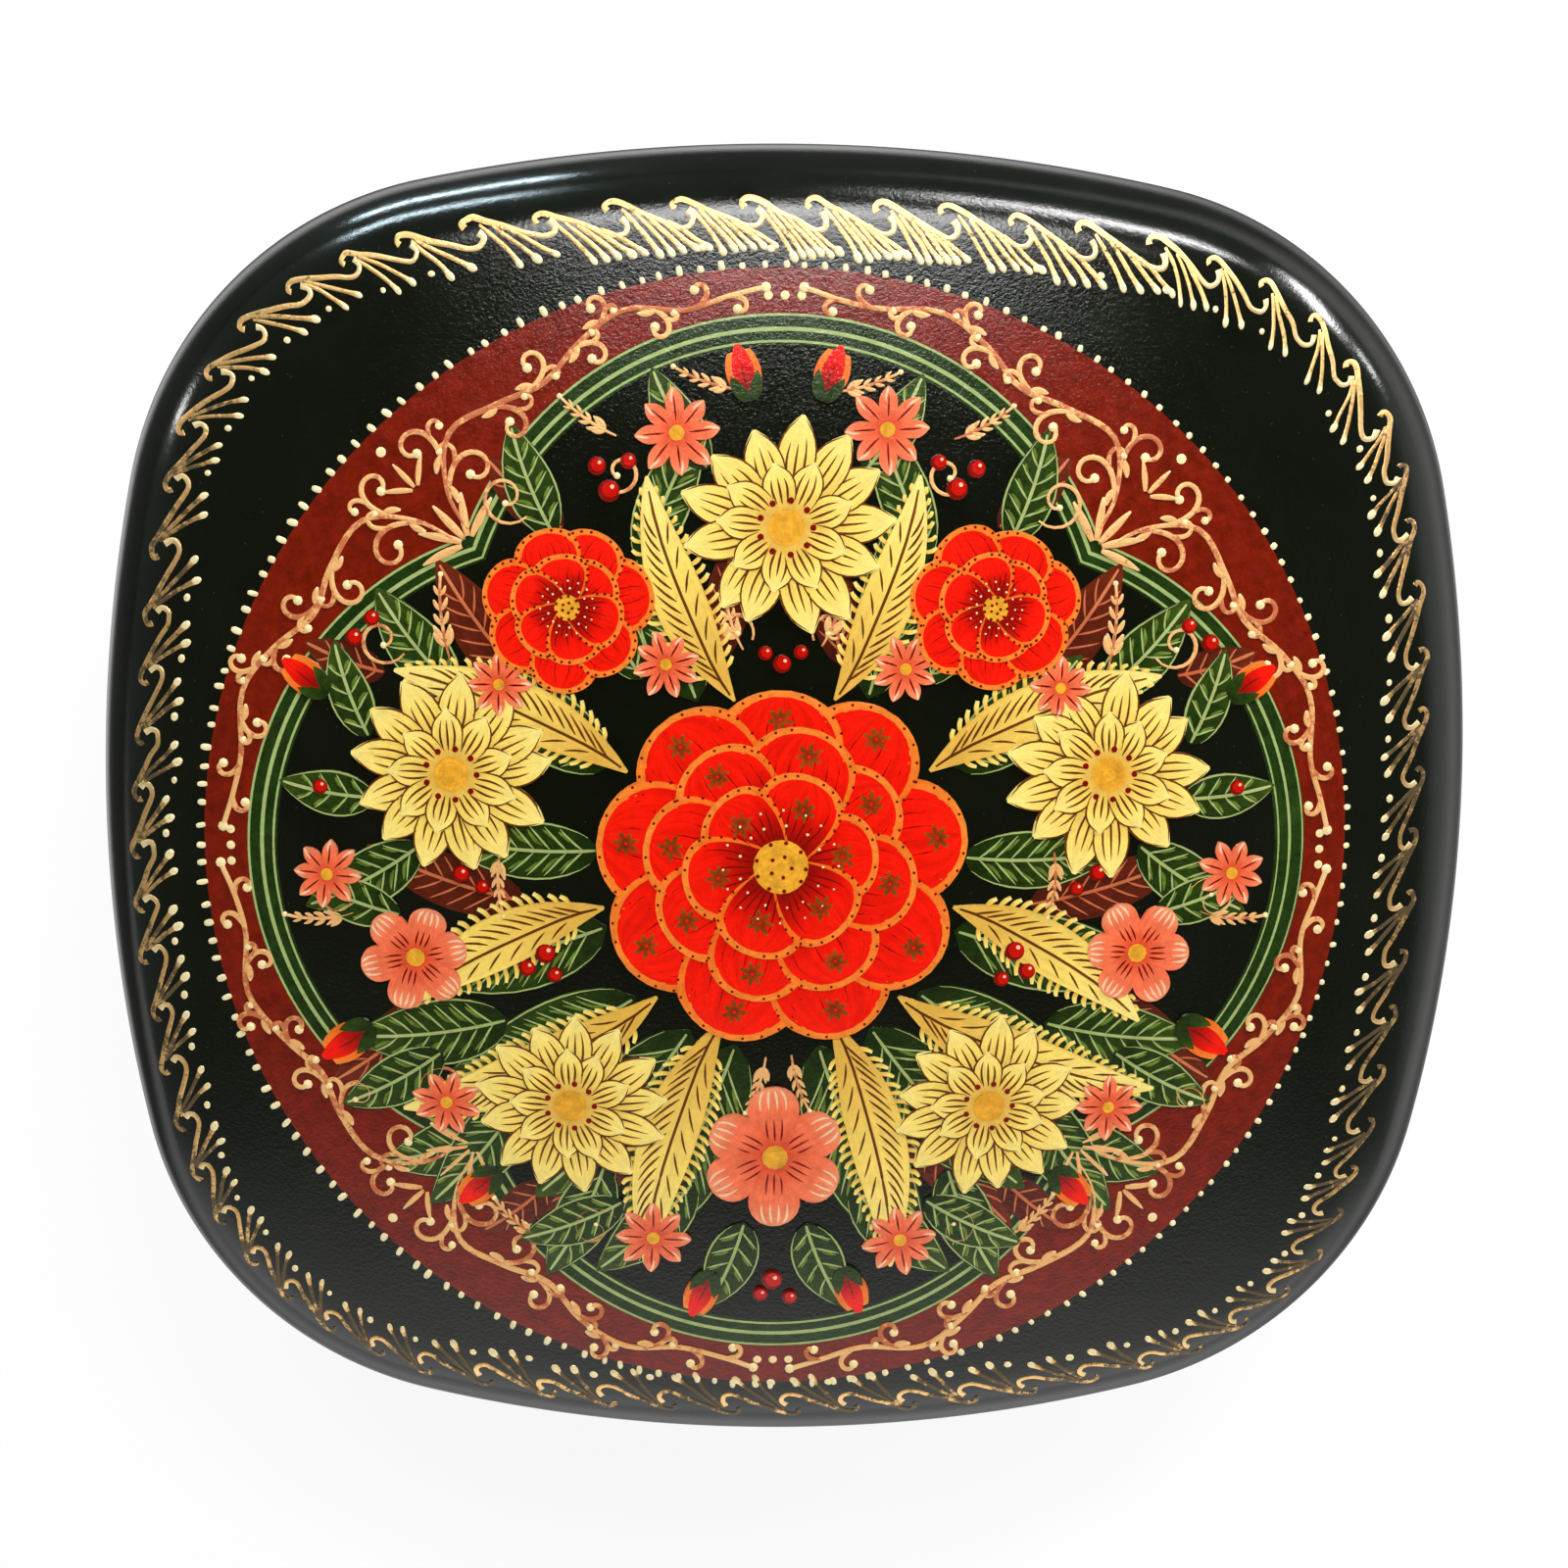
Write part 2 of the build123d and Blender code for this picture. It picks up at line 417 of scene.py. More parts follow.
def mapTo(tree, source, low, high, first=0, last=1):
    # first where the source is low, last where it is high, and evenly between
    node = addNode(tree, "ShaderNodeMapRange")
    for key, value in (("From Min", low), ("From Max", high), ("To Min", first), ("To Max", last)):
        node.inputs[key].default_value = value
    tree.links.new(source, node.inputs["Value"])
    return node.outputs["Result"]


def axes(tree, vector):
    split = addNode(tree, "ShaderNodeSeparateXYZ")
    tree.links.new(vector, split.inputs[0])
    return split.outputs


def millimetres(tree):
    # object coordinates in millimetres
    place = addNode(tree, "ShaderNodeTexCoord")
    scale = addNode(tree, "ShaderNodeVectorMath", operation="SCALE")
    scale.inputs["Scale"].default_value = 1 / mm
    tree.links.new(place.outputs["Object"], scale.inputs[0])
    return scale.outputs[0]


def shadeBy(tree, colour, factor):
    # the colour made lighter or darker by a factor round 1
    scale = addNode(tree, "ShaderNodeVectorMath", operation="SCALE")
    tree.links.new(colour, scale.inputs[0])
    tree.links.new(factor, scale.inputs["Scale"])
    return scale.outputs[0]


def addBump(tree, shader, height, strength=0.5, depth=0.05):
    bump = addNode(tree, "ShaderNodeBump")
    bump.inputs["Strength"].default_value = strength
    bump.inputs["Distance"].default_value = depth * mm
    tree.links.new(height, bump.inputs["Height"])
    tree.links.new(bump.outputs["Normal"], shader.inputs["Normal"])


def newGroup(name, inputs, outputs):
    group = bpy.data.node_groups.new(name, "ShaderNodeTree")
    for label, value in inputs:
        socket = group.interface.new_socket(label, in_out="INPUT", socket_type="NodeSocketFloat")
        socket.default_value = value
    for label in outputs:
        group.interface.new_socket(label, in_out="OUTPUT", socket_type="NodeSocketFloat")
    return group, group.nodes.new("NodeGroupInput"), group.nodes.new("NodeGroupOutput")


def useGroup(tree, group, **values):
    node = tree.nodes.new("ShaderNodeGroup")
    node.node_tree = group
    for key, value in values.items():
        node.inputs[key].default_value = value
    return node


def newMaterial(name):
    material = bpy.data.materials.new(name)
    material.use_nodes = True
    tree = material.node_tree
    return material, tree, tree.nodes["Principled BSDF"]


# The skin of the lacquer; its scales are counts to a millimetre.
skinLook = {
    "waves": 0.16,
    "grain": 4.6,
    "dust": 1.3,
    "smear": 0.09,
    # the smear gives haze over this range, and dust shows within this distance of a speck's middle
    "hazeFrom": (0.35, 0.75),
    "speckFrom": (0.09, 0.04),
    "hazeDullness": 0.05,
    # handling has smoothed the rolled edge and the sides: heights in mm, and the share of the grain left there
    "smoothBelow": 29.4,
    "grainAbove": 31.2,
    "smoothed": 0.3,
    # how far a face turns up, where rubbing begins and where it is full
    "rubbedFrom": (0.3, 0.6),
}


def makeLacquerGroup():
    # the polished skin: slow waves left by rubbing down, and a fine grain of dust under the varnish
    inputs = [("Waves", 1.0), ("Grain", 1.0)]
    group, inside, out = newGroup("polishedSkin", inputs, ["Height", "Haze", "Dust"])
    link = group.links.new
    waves = addNode(group, "ShaderNodeTexNoise", Scale=skinLook["waves"], Detail=2.0)
    grain = addNode(group, "ShaderNodeTexNoise", Scale=skinLook["grain"], Detail=3.0, Roughness=0.7)
    dust = addNode(group, "ShaderNodeTexVoronoi", Scale=skinLook["dust"])
    smear = addNode(group, "ShaderNodeTexNoise", Scale=skinLook["smear"], Detail=5.0, Roughness=0.65,
                    Distortion=1.2)
    place = millimetres(group)
    for texture in (waves, grain, dust, smear):
        link(place, texture.inputs["Vector"])
    low = combine(group, "MULTIPLY", waves.outputs["Fac"], inside.outputs["Waves"])
    fine = combine(group, "MULTIPLY", grain.outputs["Fac"], inside.outputs["Grain"])
    link(combine(group, "ADD", low, fine), out.inputs["Height"])
    link(mapTo(group, smear.outputs["Fac"], *skinLook["hazeFrom"]), out.inputs["Haze"])
    link(mapTo(group, dust.outputs["Distance"], *skinLook["speckFrom"]), out.inputs["Dust"])
    return group


# How the brush shows in a stroke of paint.
strokeLook = {
    # streaks along and across a stroke, and how far apart those of two strokes lie
    "length": 1.5,
    "breadth": 6.0,
    "shift": 37.0,
    "mottle": 1.3,
    # (low, high) of the streaks and the mottling, where they begin to show and where they are full
    "streakFrom": (0.38, 0.66),
    "mottleFrom": (0.3, 0.7),
    "dullFrom": (0.35, 0.65),
    # places along a stroke
    "rootLength": 0.45,
    "tipFrom": (0.6, 1.05),
    "roughness": 0.17,
}


def makeBrushGroup():
    # streaks that run the way the brush went, and uneven thickness of the paint
    group, inside, out = newGroup(
        "brushMarks", [("Length", strokeLook["length"]), ("Breadth", strokeLook["breadth"])],
        ["Streak", "Along", "Drop", "Mottle"])
    link = group.links.new
    along, across, tone, drop = (
        addNode(group, "ShaderNodeAttribute", attribute_name=name).outputs["Fac"]
        for name in ("along", "across", "tone", "drop"))
    place = addNode(group, "ShaderNodeCombineXYZ")
    sizes = (inside.outputs["Length"], inside.outputs["Breadth"], strokeLook["shift"])
    for source, size, socket in zip((along, across, tone), sizes, place.inputs):
        link(combine(group, "MULTIPLY", source, size), socket)
    streak = addNode(group, "ShaderNodeTexNoise", Scale=1.0, Detail=3.0, Roughness=0.6)
    link(place.outputs[0], streak.inputs["Vector"])
    mottle = addNode(group, "ShaderNodeTexNoise", Scale=strokeLook["mottle"], Detail=6.0, Roughness=0.78)
    link(millimetres(group), mottle.inputs["Vector"])
    link(streak.outputs["Fac"], out.inputs["Streak"])
    link(along, out.inputs["Along"])
    link(drop, out.inputs["Drop"])
    link(mottle.outputs["Fac"], out.inputs["Mottle"])
    return group


polishedSkin = makeLacquerGroup()
brushMarks = makeBrushGroup()


def lacquerMaterial(name, deep, worn, roughness, grain=1.0, rubbed=0.0, above=None, upper=None):
    # rubbed dulls what faces upwards; upper is a second colour, from the height above, in mm, upwards
    material, tree, shader = newMaterial(name)
    skin = useGroup(tree, polishedSkin, Waves=1.0, Grain=grain)
    haze = skin.outputs["Haze"]
    height = axes(tree, millimetres(tree))["Z"]
    colour = mixColour(tree, haze, deep, worn)
    if upper:
        colour = mixColour(tree, mapTo(tree, height, above - 0.1, above), colour, upper)
    dust = tuple(c * 2 + 0.01 for c in worn[:3]) + (1.0,)
    tree.links.new(mixColour(tree, skin.outputs["Dust"], colour, dust), shader.inputs["Base Color"])
    rough = mapTo(tree, haze, 0, 1, roughness, roughness + skinLook["hazeDullness"])
    if rubbed:
        facing = addNode(tree, "ShaderNodeTexCoord")
        up = axes(tree, facing.outputs["Normal"])["Z"]
        rough = combine(tree, "ADD", rough, mapTo(tree, up, *skinLook["rubbedFrom"], 0, rubbed))
    tree.links.new(rough, shader.inputs["Roughness"])
    smooth = grain * skinLook["smoothed"]
    grown = mapTo(tree, height, skinLook["smoothBelow"], skinLook["grainAbove"], smooth, grain)
    tree.links.new(grown, skin.inputs["Grain"])
    addBump(tree, shader, skin.outputs["Height"])
    return material


def paintMaterial(name, root, body, tip, streaks, mottle, rooted):
    # root, body and tip are the colours along a petal or stroke; the root's reaches as far as rooted
    material, tree, shader = newMaterial(name)
    brush = useGroup(tree, brushMarks)
    skin = useGroup(tree, polishedSkin, Waves=1.0, Grain=1.0)
    along, spots = brush.outputs["Along"], brush.outputs["Mottle"]
    lower = mapTo(tree, along, max(0.0, rooted - strokeLook["rootLength"]), rooted)
    upper = mapTo(tree, along, *strokeLook["tipFrom"])
    colour = mixColour(tree, upper, mixColour(tree, lower, root, body), tip)
    dark = tuple(c * 0.5 for c in body[:3]) + (1.0,)
    streaked = mapTo(tree, brush.outputs["Streak"], *strokeLook["streakFrom"], 0, streaks)
    colour = mixColour(tree, streaked, colour, dark)
    colour = shadeBy(tree, colour, mapTo(tree, spots, *strokeLook["mottleFrom"], 1 - 2 * mottle, 1 + mottle))
    tree.links.new(colour, shader.inputs["Base Color"])
    roughness = strokeLook["roughness"]
    rough = mapTo(tree, spots, *strokeLook["dullFrom"], roughness - 0.03, roughness + 0.05)
    tree.links.new(rough, shader.inputs["Roughness"])
    addBump(tree, shader, skin.outputs["Height"])
    return material


def leafGoldMaterial(name, flat, worn, bead, roughness, shine, beadShine):
    # powdered gold: flat where it is thin, dull in specks, paler where it stands in drops
    material, tree, shader = newMaterial(name)
    brush = useGroup(tree, brushMarks, Length=3.0)
    skin = useGroup(tree, polishedSkin, Waves=0.6, Grain=2.0)
    drop, spots = brush.outputs["Drop"], brush.outputs["Mottle"]
    # gold goes first where the mottling is high, and more of it where the stroke is worn; on the border's sides
    # and front this also paints shade, darkening the gold away from the lamps
    thinAndShaded = mapTo(tree, combine(tree, "MULTIPLY_ADD", drop, -0.2, spots), 0.57, 0.66)
    colour = mixColour(tree, thinAndShaded, flat, worn)
    colour = mixColour(tree, mapTo(tree, drop, 0, 1), colour, bead)
    colour = shadeBy(tree, colour, mapTo(tree, brush.outputs["Streak"], 0.3, 0.7, 0.8, 1.12))
    tree.links.new(colour, shader.inputs["Base Color"])
    # what is worn off leaves a matt brown stain, which on the border's sides and front also serves as painted
    # shade
    polished = mapTo(tree, drop, 0, 1, shine, beadShine)
    metal = combine(tree, "MULTIPLY", polished, mapTo(tree, thinAndShaded, 0, 1, 1, 0.3))
    tree.links.new(metal, shader.inputs["Metallic"])
    rough = mapTo(tree, spots, *strokeLook["dullFrom"], roughness - 0.08, roughness + 0.1)
    tree.links.new(rough, shader.inputs["Roughness"])
    addBump(tree, shader, skin.outputs["Height"])
    return material


def brassMaterial(name, bright, tarnished, roughness, dullness):
    material, tree, shader = newMaterial(name)
    skin = useGroup(tree, polishedSkin, Waves=0.4, Grain=0.5)
    haze = skin.outputs["Haze"]
    tree.links.new(mixColour(tree, haze, bright, tarnished), shader.inputs["Base Color"])
    shader.inputs["Metallic"].default_value = 1.0
    tree.links.new(mapTo(tree, haze, 0, 1, roughness, dullness), shader.inputs["Roughness"])
    addBump(tree, shader, skin.outputs["Height"], 0.3, 0.03)
    return material


# Lacquers, gold and brass. The worn colour is the one under haze or wear; for the border's gold it is also
# painted shade on the sides and front.
blackLook = {"deep": srgb(5, 8, 2), "worn": srgb(12, 15, 8), "roughness": 0.11}
redLook = {"deep": srgb(206, 26, 12), "worn": srgb(168, 18, 8), "roughness": 0.16, "grain": 0.6}
boardTop = {"upper": srgb(200, 25, 12), "above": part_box("base_board")[1].z / mm - 0.05}
borderGold = {
    "flat": srgb(248, 196, 128),
    "worn": srgb(92, 74, 46),
    "bead": srgb(252, 232, 180),
    "roughness": 0.36,
    "shine": 0.9,
    "beadShine": 0.25,
}
brassLook = {"bright": srgb(196, 150, 78), "tarnished": srgb(120, 84, 42), "roughness": 0.25, "dullness": 0.5}

print("Making the materials")
blackLacquer = lacquerMaterial("blackLacquer", **blackLook)
wallLacquer = lacquerMaterial("wallLacquer", **blackLook, rubbed=0.42)
redLacquer = lacquerMaterial("redLacquer", **redLook)
boardLacquer = lacquerMaterial("boardLacquer", **blackLook, **boardTop)
agedBrass = brassMaterial("agedBrass", **brassLook)

buildDome(blackLacquer, redLacquer)
for name, material in (
    ("body_wall", wallLacquer),
    ("base_board", boardLacquer),
    ("liner", redLacquer),
    ("lid_rim", blackLacquer),
    ("body_hinge_leaf", agedBrass),
    ("lid_hinge_leaf", agedBrass),
    ("hinge_pin", agedBrass),
    ("body_tacks", agedBrass),
    ("lid_tacks", agedBrass),
):
    for slot in nodes[name].material_slots:
        slot.material = material


# The gold border

border = {
    "seed": 7,
    "height": 0.05,
    "line": 0.15,
    "blob": 0.22,
    "blobHeight": 0.07,
    # where the first head is, and the least gap before it comes round again
    "first": 0.4,
    "lastGap": 1.5,
    # (distance round the outline, spacing, inset of the heads, reach inwards, fingers to a head, wear and
    # painted shade)
    # the last column wears the strokes and also darkens the gold on the sides and front, away from the lamps,
    # as painted shade
    "run": (
        (0, 3.65, 3.2, 2.5, 6, 0.0),
        (16, 3.9, 3.2, 2.6, 4, 0.0),
        (26, 4.1, 3.2, 2.5, 2, 0.0),
        (34, 4.1, 3.1, 2.4, 2, 0.1),
        (44, 3.55, 3.05, 2.2, 2, 0.6),
        (66, 3.4, 3.75, 2.0, 2, 0.8),
        (82, 3.4, 3.65, 2.0, 2, 0.9),
        (94, 3.5, 2.35, 2.0, 2, 0.85),
        (130, 3.55, 2.45, 2.1, 2, 1.0),
        (160, 3.5, 2.7, 1.9, 2, 0.85),
        (182, 3.1, 2.3, 2.0, 2, 0.6),
        (205, 3.6, 2.75, 2.1, 2, 0.5),
        (214, 3.8, 2.5, 2.3, 2, 0.3),
        (230, 3.8, 2.9, 2.3, 2, 0.1),
        (238, 3.6, 3.1, 2.4, 5, 0.0),
        (251.5, 3.65, 3.2, 2.5, 6, 0.0),
    ),
    # the wave from one head to the next: (share of the spacing, share of the reach)
    "wave": (
        (0.02, 0.04), (-0.01, -0.02), (0.04, -0.08), (0.15, -0.09), (0.32, -0.01), (0.55, 0.1),
        (0.8, 0.21), (1.0, 0.31), (1.14, 0.34), (1.25, 0.3), (1.28, 0.2), (1.21, 0.1),
    ),
    "waveTaper": ((0, 1.3), (0.1, 1.0), (0.3, 1.15), (0.7, 1.0), (0.88, 1.15), (1, 1.4)),
    "fingerTaper": ((0, 0.6), (0.3, 0.95), (0.75, 1.0), (1, 1.45)),
    # a finger ends at this share of the reach
    "fingerEnd": 0.66,
    # the gold of the wave comes back from this place along it
    "waveSwell": 0.42,
    # how unsteady the hand is, in shares of the spacing, for waves and for fingers
    "waveShake": 0.012,
    "fingerShake": 0.015,
    "relief": 0.3,
}


def borderAt(s, column):
    return between([(row[0], row[column]) for row in border["run"]], s)


def borderHeads(rng):
    # places of the heads round the outline, stretched so that the last meets the first
    heads = []
    s = border["first"]
    while s < perimeter - border["lastGap"]:
        heads.append(s)
        s += borderAt(s, 1) * rng.uniform(0.94, 1.06)
    stretch = perimeter / (s - border["first"])
    return [border["first"] + (head - border["first"]) * stretch for head in heads]


def paintFinger(paint, rng, spot, f, spread, wearAndShade):
    # one of the lines that fan out from a head, at f across the fan, and the drop at its end
    line, height, shake = border["line"], border["height"], border["fingerShake"]
    first = (0.24 + (0.06 + 0.6 * spread) * f, 0.03 + 0.2 * spread * f)
    last = (0.74 + (0.31 + 0.42 * spread) * f, 0.68 - 0.06 * f)
    sag = 0.03 * (1 - f)
    knots = [first]
    for g in (0.35, 0.7, 1.0):
        u = first[0] + (last[0] - first[0]) * g + rng.uniform(-shake, shake)
        v = first[1] + (last[1] - first[1]) * g - sag * math.sin(g * 3) + rng.uniform(-shake, shake)
        knots.append((u, v))
    knots = [spot(u, v) for u, v in knots]
    width = line * rng.uniform(0.8, 1.0) * (1 - 0.1 * wearAndShade)
    addStroke(paint, lidAt, smoothPath(knots, 4), width, height, rng.random(), border["fingerTaper"],
              min(1.0, 1.6 - wearAndShade), wearAndShade * 1.3)
    dx, dy = knots[-1][0] - knots[-2][0], knots[-1][1] - knots[-2][1]
    length = math.hypot(dx, dy) * 1.4
    blob = border["blob"] * (1 - 0.3 * max(0.0, wearAndShade - 0.7)) * rng.uniform(0.85, 1.15)
    addDot(paint, lidAt, *knots[-1], blob, border["blobHeight"], rng.random(),
           drop=min(1.0, 1.7 - wearAndShade), pull=(dx / length, dy / length))


def paintHead(paint, rng, head, pitch):
    # a crest with its wave down to the next one, its fan of fingers and a loose drop
    line, height, shake = border["line"], border["height"], border["waveShake"]
    inset = borderAt(head, 2) + rng.uniform(-0.14, 0.14)
    reach = borderAt(head, 3) / border["fingerEnd"] * rng.uniform(0.92, 1.08)
    lean = rng.uniform(-0.06, 0.06)

    def spot(u, v):
        return head + (u + lean * v) * pitch, inset + v * reach

    knots = [
        spot(u + rng.uniform(-shake, shake), v + rng.uniform(-shake, shake)) for u, v in border["wave"]]
    # painted shade: this wear value also darkens the gold on the sides and front of the border, away from the
    # lamps
    wearAndShade = max(0.0, borderAt(head, 5) + rng.uniform(-0.15, 0.1))
    width = line * rng.uniform(0.9, 1.1) * (1 - 0.15 * wearAndShade)
    addStroke(paint, lidAt, smoothPath(knots, 4), width, height, rng.random(), border["waveTaper"],
              min(0.8, 1.4 - wearAndShade), wearAndShade, border["waveSwell"])
    fingers = round(borderAt(head, 4) + rng.uniform(-0.3, 0.3))
    spread = min(1.0, max(0.0, (fingers - 2) / 2))
    for n in range(fingers):
        f = n / (fingers - 1) if fingers > 1 else 0
        paintFinger(paint, rng, spot, f, spread, wearAndShade)
    if rng.random() < 0.85:
        x, y = spot(0.44 + rng.uniform(-0.04, 0.04), 0.6 + rng.uniform(-0.03, 0.03))
        blob = border["blob"] * rng.uniform(0.75, 1.0)
        addDot(paint, lidAt, x, y, blob, border["blobHeight"], rng.random(), pull=(0.5, 0.1))


def buildBorder():
    print("Painting the gold border")
    rng = random.Random(border["seed"])
    paint = newPaint(1.0)
    heads = borderHeads(rng)
    for head, following in zip(heads, heads[1:] + [heads[0] + perimeter]):
        paintHead(paint, rng, head, following - head)
    print(f"  {len(heads)} heads")
    gold = leafGoldMaterial("goldBorderPaint", **borderGold)
    finishPaint(paint, "goldBorder", gold, "gold_paint", border["relief"])


buildBorder()


# The painted medallion

medallion = {
    "centre": (-0.8, -1.0),
    "radius": 31.1,
    "lobe": 16.5,
    "lobeOut": 10.5,
    "band": 1.75,
    "dash": 1.08,
    # mean radius of the scrollwork in the four corners
    "scroll": 27.0,
    "seed": 23,
}
medallionRng = random.Random(medallion["seed"])

# Height of each layer of paint over the lacquer in mm, and the rise from one leaf or petal to the next.
layers = {
    "maroon": 0.006, "band": 0.01, "bandLine": 0.014, "russet": 0.018, "leaf": 0.055, "tendril": 0.165,
    "plume": 0.172, "bud": 0.205, "blossom": 0.22, "daisy": 0.22, "rose": 0.22, "drop": 0.045, "dash": 0.06,
}
overlap = 0.0045

# Each paint: its material and slot, its colour at the root, along the body and at the tip of a stroke, and
# how much it streaks and mottles and how far the root reaches. For the gold the colours are flat, worn and
# beaded, and the numbers are the roughness, the shine and the shine of a bead.
paintBox = {
    "maroon": ("maroonGround", "maroon_paint", (116, 18, 0), (121, 20, 0), (125, 22, 2), 0.3, 0.24, 0.45),
    "greenBand": ("greenBandPaint", "green_paint", (30, 55, 10), (38, 64, 14), (30, 55, 10), 0.3, 0.3, 0.45),
    "paleLine": ("paleGreenPaint", "pale_green_paint", (160, 178, 110), (168, 184, 116), (160, 178, 110),
                 0.2, 0.12, 0.45),
    "russet": ("russetPaint", "maroon_paint", (70, 20, 10), (96, 30, 14), (124, 42, 20), 0.5, 0.2, 0.45),
    "russetVein": ("russetVeinPaint", "coral_paint", (196, 96, 60), (206, 108, 68), (222, 130, 84),
                   0.3, 0.12, 0.45),
    "leaf": ("leafPaint", "green_paint", (22, 40, 6), (40, 63, 12), (68, 88, 22), 0.5, 0.3, 0.45),
    "leafLight": ("leafLightPaint", "pale_green_paint", (80, 108, 36), (108, 132, 48), (142, 158, 66),
                  0.5, 0.3, 0.45),
    "leafVein": ("leafVeinPaint", "pale_green_paint", (160, 172, 104), (170, 182, 112), (190, 200, 136),
                 0.2, 0.12, 0.45),
    "red": ("redPaint", "red_paint", (132, 3, 1), (255, 18, 3), (255, 26, 5), 0.45, 0.08, 0.75),
    "redRim": ("orangePaint", "orange_paint", (240, 90, 22), (248, 112, 30), (252, 140, 52), 0.3, 0.12, 0.45),
    "redShade": ("darkRedPaint", "maroon_paint", (110, 6, 2), (128, 7, 2), (150, 10, 3), 0.2, 0.12, 0.45),
    "cream": ("creamPaint", "cream_paint", (228, 174, 72), (255, 219, 106), (255, 232, 140), 0.24, 0.08, 0.6),
    "brownLine": ("brownLinePaint", "maroon_paint", (92, 46, 10), (106, 56, 14), (130, 74, 22),
                  0.2, 0.12, 0.45),
    "coral": ("coralPaint", "coral_paint", (224, 66, 32), (252, 116, 76), (252, 156, 112), 0.3, 0.12, 0.45),
    "coralTip": ("coralTipPaint", "cream_paint", (255, 214, 176), (255, 206, 166), (252, 180, 146),
                 0.2, 0.12, 0.45),
    "heart": ("heartPaint", "orange_paint", (238, 160, 40), (244, 172, 48), (244, 172, 48), 0.3, 0.2, 0.45),
    "star": ("starPaint", "gold_paint", (150, 40, 8), (150, 66, 16), (170, 92, 28), 0.3, 0.3, 0.45),
    "gold": ("goldScrollPaint", "gold_paint", (246, 184, 116), (196, 104, 58), (254, 226, 166), 0.42, 0.2, 0.1),
    "dash": ("dashPaint", "cream_paint", (248, 228, 176), (252, 234, 186), (252, 234, 186), 0.15, 0.12, 0.45),
}
# Paints that stand up in rounded strokes, and how much of that shows; the others are flat, but for a thin edge.
raised = {"gold": 0.25, "dash": 0.6}
flatEdge = 0.008
paints = {name: newPaint(1.0 if name in raised else flatEdge) for name in paintBox}


def medallionAt(x, y):
    return domeAt(x + medallion["centre"][0], y + medallion["centre"][1])


def ringAt(angle, r):
    return medallionAt(r * math.cos(angle), r * math.sin(angle))


def frameRadius(angle):
    # the four-lobed frame round the flowers
    turn = (angle + math.pi / 4) % (math.pi / 2) - math.pi / 4
    out = medallion["lobeOut"]
    return out * math.cos(turn) + math.sqrt(medallion["lobe"] ** 2 - (out * math.sin(turn)) ** 2)


def addRing(paint, inner, outer, rows, height):
    # a closed painted band between two radii, all the way round
    columns, edge, turns = 320, 0.06, 40
    width = rows + 3
    start = len(paint["points"])
    for n in range(columns):
        angle = 2 * math.pi * n / columns
        low, high = inner(angle), outer(angle)
        radii = [low] + [low + edge + (high - low - 2 * edge) * j / rows for j in range(rows + 1)] + [high]
        for j, r in enumerate(radii):
            share = -1 if j in (0, width - 1) else 1
            across = j / (width - 1) * 2 - 1
            addPoint(paint, ringAt, angle, r, height, share, n / columns * turns, across, 0.5, 0.0)
    for n in range(columns):
        a, b = start + n * width, start + (n + 1) % columns * width
        for j in range(width):
            k = (j + 1) % width
            paint["faces"].append((a + j, a + k, b + k, b + j))


def turned(x, y, angle, f, e):
    c, d = math.cos(angle), math.sin(angle)
    return x + f * c - e * d, y + f * d + e * c


def swelling(g, full):
    # rises from 0 to 1 as g goes from 0 to full
    return math.sin(min(g / full, 1) * math.pi / 2)


def rosePetal(g):
    if g < 0.7:
        return 0.3 + 0.7 * swelling(g, 0.7)
    return math.sqrt(max(0.02, 1 - ((g - 0.7) / 0.302) ** 2))


# Half breadth of each kind of petal, as a share of its widest, at g from its root to its tip.
petalShapes = {
    "rose": rosePetal,
    "daisy": lambda g: max(0.1, 0.28 + 0.72 * swelling(g, 0.66) - max(0, (g - 0.62) / 0.38) ** 2.2 * 0.92),
    "leaf": lambda g: 0.03 + 2.55 * max(g, 0) ** 0.62 * max(0.0, 1 - g) ** 0.86,
    "bud": lambda g: 0.06 + 0.94 * max(0.0, math.sin(min(1, max(0, g)) * math.pi * 0.96)) ** 0.8,
    "plume": lambda g: 0.05 + 0.95 * swelling(g, 0.45) - max(0, (g - 0.5) / 0.5) ** 1.7 * 0.94,
}


def petalPlace(x, y, angle, length, width, shape, bend=0.0, start=0.0):
    # maps (along, across) to a petal or leaf that grows from x, y
    profile = petalShapes[shape]

    def place(f, e):
        g = start + (1 - start) * f
        heading = angle + bend * g
        px = x + length * g * math.cos(angle + bend * g / 2)
        py = y + length * g * math.sin(angle + bend * g / 2)
        half = width * profile(g) * e
        return px - half * math.sin(heading), py + half * math.cos(heading)
    return place


def fill(name, place, steps, height, **shape):
    # a petal or leaf in one paint
    addPatch(paints[name], medallionAt, place, steps, height, medallionRng.random(), **shape)


def dab(name, x, y, radius, height, sides, drop=1.0):
    addDot(paints[name], medallionAt, x, y, radius, height, medallionRng.random(), sides, drop)


def drawOn(name, place, line, width, height, taper=fineTaper, side=1, at=0.0):
    # a line in a petal's own (along, across) terms, on one side of it, moved along it by at
    knots = [(at + f, e * side) for f, e in line]
    path = [place(f, e) for f, e in smoothPath(knots, 3)]
    addStroke(paints[name], medallionAt, path, width, height, medallionRng.random(), taper)


